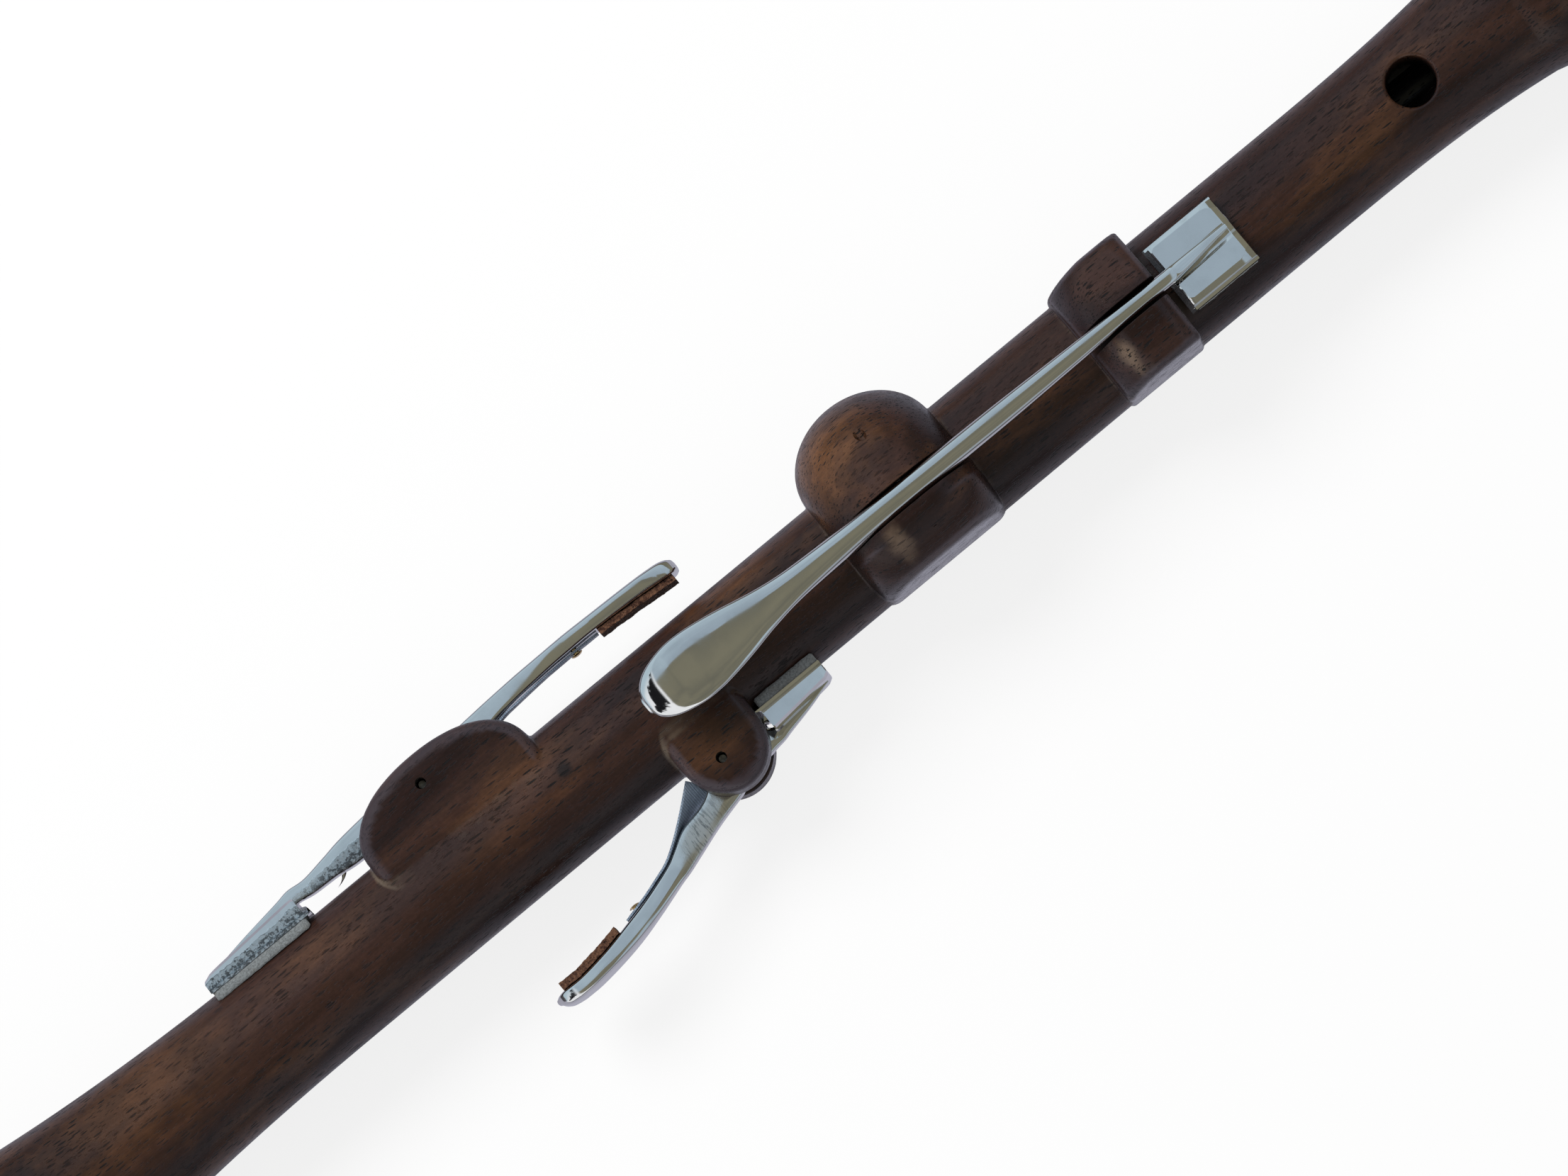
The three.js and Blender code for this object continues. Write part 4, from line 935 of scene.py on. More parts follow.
def spring_piece(key, end_half=SPRING_HALF_WIDTH, steepest=0.0):
    """A leaf spring: a flat oblong section carried along its line. A twisted leaf turns as far as the
    room between it and the bar lets it, up to `steepest`, so that one edge keeps to the line."""
    line = spring_line(key)
    run = np.gradient(line, axis=0)
    run /= np.linalg.norm(run, axis=1, keepdims=True)
    down = np.stack([run[:, 1], -run[:, 0]], -1)
    down *= -np.sign(down[:, 1:2])
    share = (key["pivot_x"] - line[:, 0]) * key["towards"] / key["touch_arm"]
    room = touch_at(key, share)[1] - line[:, 1] + FIT_GAP
    width_shares = [0.8, 0.97, 1, 1, end_half / SPRING_HALF_WIDTH]
    length = np.linspace(0, 1, len(line))
    half = np.interp(length, [0, 0.03, 0.1, 0.45, 1], width_shares) * SPRING_HALF_WIDTH
    turn = np.arcsin(np.clip(room / (2 * half), 0, math.sin(steepest)))[:, None]
    half = half[:, None]
    outline = eased([[-1, 0], [1, 0], [1, 1], [-1, 1]], FINE_EASE, 3)
    across = outline[None, :, 0] * half
    depth = outline[None, :, 1] * SPRING_THICKNESS + across * np.sin(turn) - half * np.sin(turn)
    x, z = (line[:, k:k + 1] + down[:, k:k + 1] * depth for k in (0, 1))
    points = spread(x, across * np.cos(turn), z)
    return skin("fine_" + key["name"] + "_key_spring", points, key["turn"], sharp=40)


def rivet_piece(key):
    """A rivet with a domed head under the spring: a small profile turned about its own upright line."""
    fixed, leave, _ = key["spring_shares"]
    x, bottom, _ = touch_at(key, fixed + (leave - fixed) * RIVET["place"])
    face = bottom - FIT_GAP - SPRING_THICKNESS - RIVET["head_gap"]
    dome = np.radians([20, 45, 68])
    head, drop = RIVET["head"], RIVET["head_height"]
    radius = np.concatenate([head * np.sin(dome), [head, head, RIVET["radius"], RIVET["radius"]]])
    rise = np.concatenate([-drop * np.cos(dome), [-drop * 0.2, 0.0, 0.0, bottom + RIVET["length"] - face]])
    radius, rise, around = radius[:, None], rise[:, None] + face, once_round(28)
    points = spread(x + radius * np.cos(around), radius * np.sin(around), rise)
    return skin("fine_" + key["name"] + "_key_rivet", points, key["turn"], sharp=35)


def pin_piece(key):
    """A steel pin with chamfered ends, a little short of its hole."""
    right, left = pin_reach(key)
    right, left = right + PIN_RECESS + PIN_SUNK, left - PIN_RECESS - PIN_SUNK
    run = (right, right + PIN_CHAMFER, left - PIN_CHAMFER, left)
    radius = np.array([PIN_END_SHARE, 1, 1, PIN_END_SHARE]) * PIN_RADIUS
    hinge = (key["pivot_x"], key["pivot_height"])
    return rod("fine_" + key["name"] + "_key_pin", run, radius, key["turn"], 28, hinge, sharp=35)


pads = [pad_piece(key) for key in keys]
corks = [cork_piece(key, seed) for key, seed in zip(keys, (11, 12, 13))]
springs = [spring_piece(long_key), spring_piece(left_key), spring_piece(right_key, TWISTED_HALF, TWIST)]
rivets = [rivet_piece(key) for key in keys]
pins = [pin_piece(key) for key in keys]
print("small pieces:", [len(p.data.polygons) for p in (*pads, *corks, *springs, *rivets, *pins)], "faces")

# %% [markdown]
# ## Ferrules, cork lap, cap and neck
# These are all lathe work: a closed profile of radius over length goes once round the pipe's line.
# Fine turned lines and soft corners are part of the profile, because a real ferrule never has a sharp
# edge, and its lines are what a turner is proud of.

# %% Turned rings
def banded(x0, x1, inner, outer, lines, depth=0.16, width=0.3, ease=0.28):
    """The closed profile of a ring: its outer edge dips by `depth` at each turned line."""
    over = []
    for place in lines:
        over += [[place - width, outer], [place, outer - depth], [place + width, outer]]
    start = [[x0, inner], [x0, outer - ease], [x0 + ease, outer]]
    end = [[x1 - ease, outer], [x1, outer - ease], [x1, inner]]
    return eased(start + over + end, FINE_EASE, 3)


CAP_LENGTH, CAP_MOUTH_RADIUS, CAP_CROWN_RADIUS, CAP_CROWN_DEPTH = 84.0, 13.8, 10.6, 9.45
CAP_FERRULE_LENGTH, CAP_FERRULE_WALL, CAP_FERRULE_PROUD = 9.0, 1.1, 0.5
CAP_CROWN_RING_LENGTH, CAP_SEAT_GAP, CROWN_EASE = 6.5, 0.3, 0.3
NECK_RADIUS, NECK_WALL, NECK_LENGTH, NECK_INSIDE = 6.0, 1.4, 29.0, 9.0
cap_profile_shares = np.array([[0, 1], [0.2, 1.04], [0.45, 1.03], [0.7, 0.94], [0.88, 0.82], [1, 0.79]])
STAND_RADIUS = PIPE_LINE[2] / MM
MOUTH = TENON_X + FIT_GAP + CAP_SEAT_GAP
CROWN = MOUTH + CAP_LENGTH
CHAMBER_END = CROWN - CAP_CROWN_DEPTH
BAND_RADIUS = CAP_MOUTH_RADIUS + CAP_FERRULE_PROUD
BAND_SEAT = BAND_RADIUS - CAP_FERRULE_WALL - FIT_GAP
CROWN_SEAT = CAP_CROWN_RADIUS - CAP_FERRULE_WALL - FIT_GAP
BAND_END = MOUTH + CAP_FERRULE_LENGTH + FIT_GAP
CROWN_START = CROWN - CAP_CROWN_RING_LENGTH - FIT_GAP
NECK_END = CROWN + NECK_LENGTH - NECK_INSIDE
CHAMBER_RADIUS = TENON_RADIUS + LAP_PROUD + FIT_GAP


def cap_profile():
    """The cap in half section: out along its belly, then back through neck seat and reed chamber."""
    along, radius = curve_through(cap_profile_shares, 9).T
    radius = np.minimum(radius * CAP_MOUTH_RADIUS, STAND_RADIUS)
    belly = np.stack([BAND_END + along * (CROWN_START - BAND_END), radius], -1)
    neck_seat, way = NECK_RADIUS + FIT_GAP, NECK_RADIUS - NECK_WALL
    mouth = [[MOUTH, CHAMBER_RADIUS], [MOUTH, BAND_SEAT], [BAND_END, BAND_SEAT]]
    crown = [[CROWN_START, CROWN_SEAT], [CROWN - CROWN_EASE, CROWN_SEAT], [CROWN, CROWN_SEAT - CROWN_EASE]]
    inside = [
        [CROWN, neck_seat], [CROWN - NECK_INSIDE, neck_seat], [CROWN - NECK_INSIDE, way],
        [CHAMBER_END, way], [CHAMBER_END, CHAMBER_RADIUS],
    ]
    return np.concatenate([mouth, belly, crown, inside])


bands = [
    ("foot_ferrule", 0, FOOT_RING_LENGTH, FOOT_RING_RADIUS - FOOT_RING_WALL, STAND_RADIUS,
     (1.6, 2.4, 5.4), 128),
    ("head_ferrule", HEAD_RING_X, TENON_X, HEAD_RING_RADIUS - HEAD_RING_WALL, HEAD_RING_RADIUS,
     (1.6, 2.4, 11.6, 12.4), 128),
    ("cap_ferrule", MOUTH, MOUTH + CAP_FERRULE_LENGTH, BAND_RADIUS - CAP_FERRULE_WALL, BAND_RADIUS,
     (1.6, 2.4, 6.6, 7.4), 128),
    ("cap_crown_ring", CROWN_START + FIT_GAP, CROWN, CAP_CROWN_RADIUS - CAP_FERRULE_WALL, CAP_CROWN_RADIUS,
     (1.6, 4.9), 112),
    ("neck_tube", CROWN - NECK_INSIDE + FIT_GAP, NECK_END, NECK_RADIUS - NECK_WALL, NECK_RADIUS,
     (22.35, 23.25, 26.65), 80),
]
turned_metal = [
    turned_ring("fine_" + name, banded(x0, x1, inner, outer, x0 + np.array(lines)), sides)
    for name, x0, x1, inner, outer, lines, sides in bands
]
cap_wood = turned_ring("fine_cap_body", cap_profile(), 144)
lap_start = TENON_X + LAP_START + FIT_GAP
lap_end = lap_start + LAP_LENGTH - 2 * FIT_GAP
lap_inner, lap_outer = TENON_RADIUS - LAP_DEPTH + FIT_GAP, TENON_RADIUS + LAP_PROUD
lap_outline = [[lap_start, lap_inner], [lap_start, lap_outer], [lap_end, lap_outer], [lap_end, lap_inner]]
tenon_lap = turned_ring("fine_tenon_cork", eased(lap_outline, 0.35), 96)
print("turned pieces end at", NECK_END, "mm")

# %% [markdown]
# ## The reed under the cap
# Two leaves of cane stand on a brass staple, bound with waxed thread and bridled with a strip of
# brass. Thread is a helix: its radius swells once for every turn, and the swelling moves along the
# staple as it goes round, so one grid of length and angle holds all the turns.

# %% Reed pieces
STAPLE = dict(length=37.0, foot=2.6, head=2.2, wall=0.45)
LAP_ON_STAPLE, REED_OVERLAP, BINDING_TAIL, BINDING_WALL = 14.0, 12.0, 2.0, 0.8
BLADE_THICKNESS, BLADE_PARTING, SIDE_POWER = 0.6, 0.3, 0.8
LIP_HALF_WIDTH, LIP_HEIGHT, LIP_GAP = 6.3, 1.1, 6.85
BRIDLE_START, BRIDLE_WIDTH, BRIDLE_WALL = 3.0, 2.6, 0.45
REED_FOOT = THROAT_X + FIT_GAP
STAPLE_END = REED_FOOT + STAPLE["length"]
BLADE_START = STAPLE_END - REED_OVERLAP
FREE_BLADE = CHAMBER_END - LIP_GAP - STAPLE_END
THREAD_PITCH, ROWS_PER_TURN = 0.42, 5
THREAD_TAPER, THREAD_END_SHARE, THREAD_DIP_SHARE = 0.4, 0.35, 0.28
LEAF_FACETS = 6


def reed_hollow(share):
    """(half width, height) of the hollow between the blades, from the binding to the lips."""
    staple = STAPLE["head"] + (STAPLE["foot"] - STAPLE["head"]) * REED_OVERLAP / STAPLE["length"]
    bound = (staple + FIT_GAP) / math.cos(math.pi / 2 / LEAF_FACETS)
    half = bound + (LIP_HALF_WIDTH - BLADE_THICKNESS - bound) * np.asarray(share) ** SIDE_POWER
    return half, bound + (LIP_HEIGHT / 2 - bound) * np.asarray(share)


def wound(name, x0, x1, inner, outer, sides=64):
    """Thread round the reed: over the inside its height is h (1 - d + d |cos(pi x / pitch - a / 2)|), a
    helix of turns, less at both ends. The last two rows close it along its plain inside."""
    x = np.linspace(x0, x1, int((x1 - x0) / THREAD_PITCH * ROWS_PER_TURN))[:, None]
    around = once_round(sides)
    swell = np.abs(np.cos(math.pi * x / THREAD_PITCH - around / 2))
    ends = np.clip(np.minimum(x - x0, x1 - x) / THREAD_TAPER, 0, 1)
    height = (outer - inner) * (THREAD_END_SHARE + (1 - THREAD_END_SHARE) * ends)
    radius = inner + height * (1 - THREAD_DIP_SHARE + THREAD_DIP_SHARE * swell)
    x = np.concatenate([x, [[x1], [x0]]])
    radius = np.concatenate([radius, np.full((2, sides), inner)])
    points = spread(x, radius * np.cos(around), radius * np.sin(around))
    return make_piece(name, points.reshape(-1, 3), [grid_faces(len(points), sides, ring=True)], sharp=80)


def blade(name, side, rows=28, columns=25):
    """One leaf of cane. Across, an angle a runs from 0 to 180 degrees: y = w cos a, z = h sin a, once
    for the bark outside and once, smaller, for the hollow inside."""
    share = np.concatenate([[0], np.linspace(0, 1, rows)])[:, None]
    x = np.concatenate([[BLADE_START], np.linspace(STAPLE_END, STAPLE_END + FREE_BLADE, rows)])[:, None]
    half, height = reed_hollow(share)
    scrape = np.interp(share, [0, 0.45, 1], [1, 0.95, 0.45])
    angle = np.linspace(0, math.pi, columns)[None, :]

    def leaf(grown):
        across = (half + grown * (0.4 + 0.6 * scrape)) * np.cos(angle)
        rise = BLADE_PARTING / 2 + (height + grown * scrape) * np.sin(angle)
        return spread(x, across, side * rise)

    return skin(name, np.concatenate([leaf(BLADE_THICKNESS), leaf(0.0)[:, ::-1]], 1), sharp=50)


def bridle():
    """A strip of brass bent to an oval about the blades: an oval tube with soft edges."""
    x0, x1 = STAPLE_END + BRIDLE_START, STAPLE_END + BRIDLE_START + BRIDLE_WIDTH
    near_height = float(reed_hollow(BRIDLE_START / FREE_BLADE)[1])
    far_half = float(reed_hollow((BRIDLE_START + BRIDLE_WIDTH) / FREE_BLADE)[0])
    wide = far_half + BLADE_THICKNESS
    tall = near_height + BLADE_THICKNESS + BLADE_PARTING / 2
    low, high = 2 * FIT_GAP, 2 * FIT_GAP + BRIDLE_WALL
    x, grown = eased([[x0, low], [x0, high], [x1, high], [x1, low]], FINE_EASE, 3).T[:, :, None]
    around = once_round(72)
    points = spread(x, (wide + grown) * np.cos(around), (tall + grown) * np.sin(around))
    faces = grid_faces(*points.shape[:2], ring=True)
    return make_piece("fine_reed_bridle", points.reshape(-1, 3), [faces], sharp=50)


staple_outline = [
    [REED_FOOT, STAPLE["foot"] - STAPLE["wall"]], [REED_FOOT, STAPLE["foot"]],
    [STAPLE_END, STAPLE["head"]], [STAPLE_END, STAPLE["head"] - STAPLE["wall"]],
]
staple = turned_ring("fine_reed_staple", eased(staple_outline, 0.1, 3), 56)
lapping = wound("fine_reed_lapping", REED_FOOT, REED_FOOT + LAP_ON_STAPLE,
                STAPLE["foot"] + FIT_GAP, REED_SEAT_RADIUS - FIT_GAP)
bound_height = float(reed_hollow(0.0)[1])
binding_inner = bound_height + BLADE_THICKNESS + BLADE_PARTING / 2 + FIT_GAP
binding = wound("fine_reed_binding", BLADE_START - BINDING_TAIL, STAPLE_END - FIT_GAP,
                binding_inner, binding_inner + BINDING_WALL)
blades = [blade("fine_reed_blade_back", 1), blade("fine_reed_blade_front", -1)]
reed_bridle = bridle()
print("free blade", round(FREE_BLADE, 2), "mm, binding from", round(binding_inner, 2), "mm radius")

# %% [markdown]
# ## What the form decides: dust, casting and painted light
# Several marks on the chanter follow from form and not from colour alone. Dust and polish stay in the
# corners where a block meets the pipe. The rounded rims and the sawn flats on the right get painted
# light, a pale colour that stands in for the sky they reflect, and wood deep in the holes and slots
# gets painted shade. The sides of the small keys were never filed: they keep the grain of the casting.
# All are measured from the shapes here and kept as attributes, one number for every corner of the
# mesh, for the materials to read.

# %% Attributes measured from the form
BEND_STEP = 0.45
RIM_BEND, SHARP_BEND, CREASE_BEND, SHARP_LOSS_SHARE = (0.28, 0.88), (0.9, 1.5), (0.15, 1.15), 0.75
INSIDE_DEPTH, FLAT_MARGIN, FLAT_LEVEL = (0.5, 2.0), 0.15, 1.4
SPINE_HALF, FLAP_SIDE, BAR_SIDE, PAST_PIN = 1.9, (4.6, 5.1), (1.1, 1.45), (1.0, 3.0)
BRUSHED_OFF_PIN, BRUSHED_REACH = 9.0, 6.0


def read_points(piece):
    """The corners of a piece as an array, in frame metres."""
    points = np.empty(len(piece.data.vertices) * 3, np.float32)
    piece.data.vertices.foreach_get("co", points)
    return points.reshape(-1, 3).astype(float)


def write_values(piece, name, values):
    """Keep one number for every corner of a mesh under a name."""
    layer = piece.data.attributes.new(name, "FLOAT", "POINT")
    layer.data.foreach_set("value", np.clip(values, 0, 1).astype(np.float32))


def ramp(values, low, high):
    """How far values have come from `low` to `high`, held between zero and one."""
    return np.clip((values - low) / (high - low), 0, 1)


def surface_bend(x, y, z, h=BEND_STEP):
    """How the wood bends: the sum of the distances h away on six sides, less six times the distance
    here, over h squared. It is above zero on a rim and below zero in a corner."""
    around = sum(
        wood_gap(x + dx * h, y + dy * h, z + dz * h)
        for dx, dy, dz in ((1, 0, 0), (-1, 0, 0), (0, 1, 0), (0, -1, 0), (0, 0, 1), (0, 0, -1))
    )
    return (around - 6 * wood_gap(x, y, z)) / h**2


x_wood, y_wood, z_wood = from_frame(read_points(wood)).T
bend_values = surface_bend(x_wood, y_wood, z_wood)
from_skin = np.abs(wood_gap(x_wood, y_wood, z_wood))
flat_cut = np.where(x_wood > GUIDE_X - OVERRUN, GUIDE_RIGHT_CUT, ball["right_cut"])
on_ball = np.abs(x_wood - ball["x"]) < ball["half"]
on_guide = np.abs(x_wood - GUIDE_X - GUIDE_LENGTH / 2) < GUIDE_LENGTH / 2
soft_rim = 1 - SHARP_LOSS_SHARE * ramp(bend_values, *SHARP_BEND)
# Mask for the painted sheen: a pale bluish colour on rounded rims that stands in for the sky's reflection.
write_values(wood, "rim", ramp(bend_values, *RIM_BEND) * soft_rim)
write_values(wood, "crease", ramp(-bend_values, *CREASE_BEND))
# Mask for the painted reflection: the right flats of ball and guide take a pale lavender colour for the
# sky they mirror.
write_values(wood, "flat", (on_ball | on_guide) * (FLAT_LEVEL - np.abs(y_wood + flat_cut) / FLAT_MARGIN))
# Mask for painted shade: wood deep inside holes, slots and bore, which the material darkens.
write_values(wood, "inside", ramp(from_skin, *INSIDE_DEPTH))

for key in keys:
    lever, plan = levers[key["name"]], flap_plan(key)
    x_key, y_key, z_key = from_frame(read_points(lever), key["turn"]).T
    out = np.abs(y_key)
    rows = bar_rows(key)
    row_x, tops, bottoms, _ = rows[np.argsort(rows[:, 0])].T
    bar_top, bar_low = np.interp(x_key, row_x, tops), np.interp(x_key, row_x, bottoms)
    along = (x_key - key["near"]) / (key["far"] - key["near"])
    on_flap = (along > -0.1) & (out > SPINE_HALF)
    flap_top = plan["near_top"] + along * (plan["far_top"] - plan["near_top"])
    flap_low = np.sqrt(np.maximum(plan["under"] ** 2 - y_key**2, 1))
    flap_level = (z_key - flap_low) / np.maximum(flap_top - flap_low, 0.1)
    write_values(lever, "level", np.where(on_flap, flap_level, (z_key - bar_low) / (bar_top - bar_low)))
    past_pin = key["towards"] * (x_key - key["pivot_x"])
    at_side = np.where(on_flap, ramp(out, *FLAP_SIDE), ramp(out, *BAR_SIDE))
    write_values(lever, "side", at_side * ramp(past_pin, *PAST_PIN) * (key is left_key))
    near_block = ramp(-np.abs(past_pin + BRUSHED_OFF_PIN), -BRUSHED_REACH, 0)
    write_values(lever, "brushed", near_block * ramp(out, *BAR_SIDE) * (key is right_key))
print("the wood bends from", bend_values.min().round(2), "to", bend_values.max().round(2), "per mm")

# %% [markdown]
# ## Small tools for shader nodes
# A material is a drawing in nodes, and long node code hides the idea. So each kind of node used here
# gets a short function that takes sockets or plain values and gives back a socket. Patterns are drawn
# in millimetres from the object's own coordinates, so they keep their size on every piece.

# %% Node tools
def put(tree, kind, inputs=(), **settings):
    """Add a shader node. An input takes either another node's socket or a plain value."""
    made = tree.nodes.new("ShaderNode" + kind)
    for name, value in settings.items():
        setattr(made, name, value)
    for socket, value in dict(inputs).items():
        if isinstance(value, bpy.types.NodeSocket):
            tree.links.new(value, made.inputs[socket])
        else:
            made.inputs[socket].default_value = value
    return made


def calc(tree, operation, *values):
    """One step of arithmetic."""
    return put(tree, "Math", enumerate(values), operation=operation).outputs[0]


def span(tree, value, low, high, to_low=0.0, to_high=1.0):
    """Ease a value from one range into another and hold it at the ends."""
    ends = {"Value": value, "From Min": low, "From Max": high, "To Min": to_low, "To Max": to_high}
    return put(tree, "MapRange", ends, interpolation_type="SMOOTHSTEP").outputs["Result"]


def mixed(tree, share, first, second, numbers=False):
    """Two colours mixed by a share, or two numbers."""
    kind, sockets, output = ("FLOAT", (0, 2, 3), 0) if numbers else ("RGBA", (0, 6, 7), 2)
    values = [(*value, 1.0) if isinstance(value, tuple) else value for value in (share, first, second)]
    return put(tree, "Mix", zip(sockets, values), data_type=kind).outputs[output]


def shaded(tree, colour, share):
    """A colour times a number."""
    grey = put(tree, "CombineXYZ", {"X": share, "Y": share, "Z": share}).outputs[0]
    return put(tree, "VectorMath", {0: colour, 1: grey}, operation="MULTIPLY").outputs[0]


def place_mm(tree):
    """The place on the piece in the maker's millimetres."""
    own = put(tree, "TexCoord").outputs["Object"]
    scale, line = (1 / MM, 1 / MM, 1 / MM), tuple(-value / MM for value in PIPE_LINE)
    return put(tree, "VectorMath", {0: own, 1: scale, 2: line}, operation="MULTIPLY_ADD").outputs[0]


def stretched(tree, place, shares):
    """The place with each direction scaled by itself."""
    return put(tree, "VectorMath", {0: place, 1: shares}, operation="MULTIPLY").outputs[0]


def noise(tree, place, scale=1.0, detail=2.0, roughness=0.5, distortion=0.0):
    """Soft noise about 0.5."""
    inputs = {"Scale": scale, "Detail": detail, "Roughness": roughness, "Distortion": distortion}
    return put(tree, "TexNoise", {"Vector": place, **inputs}).outputs["Fac"]


def grain(tree, place, shares, detail=2.0, roughness=0.5, distortion=0.0):
    """Soft noise drawn out along a direction by a small share of it."""
    return noise(tree, stretched(tree, place, shares), 1.0, detail, roughness, distortion)


def wave(tree, value, rate):
    """A sine wave between zero and one."""
    return calc(tree, "MULTIPLY_ADD", calc(tree, "SINE", calc(tree, "MULTIPLY", value, rate)), 0.5, 0.5)


def cells(tree, place, scale=1.0):
    """Distance to the nearest of many scattered points."""
    return put(tree, "TexVoronoi", {"Vector": place, "Scale": scale}).outputs["Distance"]


def read_value(tree, name):
    """An attribute of the mesh."""
    return put(tree, "Attribute", attribute_name=name).outputs["Fac"]


SURFACE = {"Color": "NodeSocketColor", "Roughness": "NodeSocketFloat", "Height": "NodeSocketFloat"}


def new_surface(name):
    """An empty node group that is to give colour, roughness and height, and the place in it."""
    tree = bpy.data.node_groups.new(name, "ShaderNodeTree")
    for socket, kind in SURFACE.items():
        tree.interface.new_socket(socket, in_out="OUTPUT", socket_type=kind)
    return tree, place_mm(tree)


def close_group(tree, **results):
    """Link the results to the group's outputs."""
    end = tree.nodes.new("NodeGroupOutput")
    for socket, value in results.items():
        tree.links.new(value, end.inputs[socket])
    return tree


def material(name, tree, **constants):
    """A material whose group feeds colour, roughness and bump, with constants set on the shader."""
    made = bpy.data.materials.new(name)
    made.use_nodes = True
    nodes = made.node_tree
    shader = nodes.nodes["Principled BSDF"]
    surface = nodes.nodes.new("ShaderNodeGroup")
    surface.node_tree = tree
    relief = put(nodes, "Bump", {"Height": surface.outputs["Height"], "Strength": 1.0, "Distance": MM})
    nodes.links.new(surface.outputs["Color"], shader.inputs["Base Color"])
    nodes.links.new(surface.outputs["Roughness"], shader.inputs["Roughness"])
    nodes.links.new(relief.outputs["Normal"], shader.inputs["Normal"])
    for socket, value in constants.items():
        shader.inputs[socket.replace("_", " ")].default_value = value
    return made


print("node tools are ready")

# %% [markdown]
# ## Rosewood
# Rosewood is brown with darker growth rings, warmer where the light sinks into open grain, and full
# of open pores that the polish leaves as short black dashes along the stick. The rings are sine waves
# of the distance from a pith that lies outside the stick, so the turned and carved forms cut them
# into arcs and flames by themselves. The pores are scattered points, seen in a space squeezed along
# the grain, which draws each one out into a dash.

# %% The wood's node group
PITH = (-19.0, -34.0)
KNOT = (112.5, 1.5, 9.4)
WOOD_DARK = (0.0195, 0.0085, 0.0072)
WOOD_BROWN = (0.038, 0.0168, 0.0120)
WOOD_WARM = (0.132, 0.057, 0.0225)
WOOD_DUST = (0.170, 0.130, 0.092)
WOOD_WORN_AND_LIT = (0.225, 0.155, 0.105)
# Painted sheen: the pale bluish colour of the sky reflected on rounded rims.
WOOD_SHEEN = (0.105, 0.092, 0.115)
# Painted reflection: the pale lavender of the sky mirrored by the right flats.
WOOD_FLAT_REFLECTION = (0.210, 0.205, 0.250)
WARM_SPOTS = (
    ((170.0, 13.0, 11.0), (0.8, 1.0, 0.6), 12.0, 0.9),
    ((148.0, 8.0, 7.0), (0.4, 1.0, 1.0), 6.5, 0.5),
    ((131.0, -9.0, 8.0), (0.8, 1.0, 0.5), 7.5, 0.45),
    ((34.0, 7.0, 11.0), (0.4, 0.7, 0.7), 11.0, 0.5),
    ((99.0, 0.0, 10.0), (0.3, 1.2, 0.6), 4.5, 0.2),
)
DUST_SPOTS = (
    ((125.5, -4.5, 9.0), (0.7, 0.7, 0.5), 6.5, 0.7),
    ((80.4, 6.8, 7.0), (0.7, 0.7, 0.5), 5.0, 0.7),
)
# Pale spots: rubbed wood on the ball's right cheek, and a painted highlight across the guide's right cheek
# where its hump bends.
WORN_AND_LIT_SPOTS = (
    ((171.4, -4.6, 13.4), (1.4, 0.9, 0.5), 4.2, 0.75),
    ((214.4, -5.2, 12.6), (2.0, 0.8, 0.4), 3.4, 0.75),
)
# Dark of the pores and the knot, also used as painted shade inside holes and slots.
PORE_AND_SHADE_DARK = (0.008, 0.006, 0.006)


def spot_share(tree, place, middle, squash, wide, most):
    """How much a ragged spot shows: `most` in its middle and nothing past its rim. A squash above one
    makes it narrower that way."""
    off = put(tree, "VectorMath", {
        0: stretched(tree, place, squash), 1: tuple(a * b for a, b in zip(middle, squash)),
    }, operation="DISTANCE").outputs["Value"]
    ragged = calc(tree, "MULTIPLY_ADD", noise(tree, place, 0.4, 4.0, 0.65), wide * 0.9, off)
    return span(tree, ragged, wide * 0.5, wide * 1.4, most, 0.0)


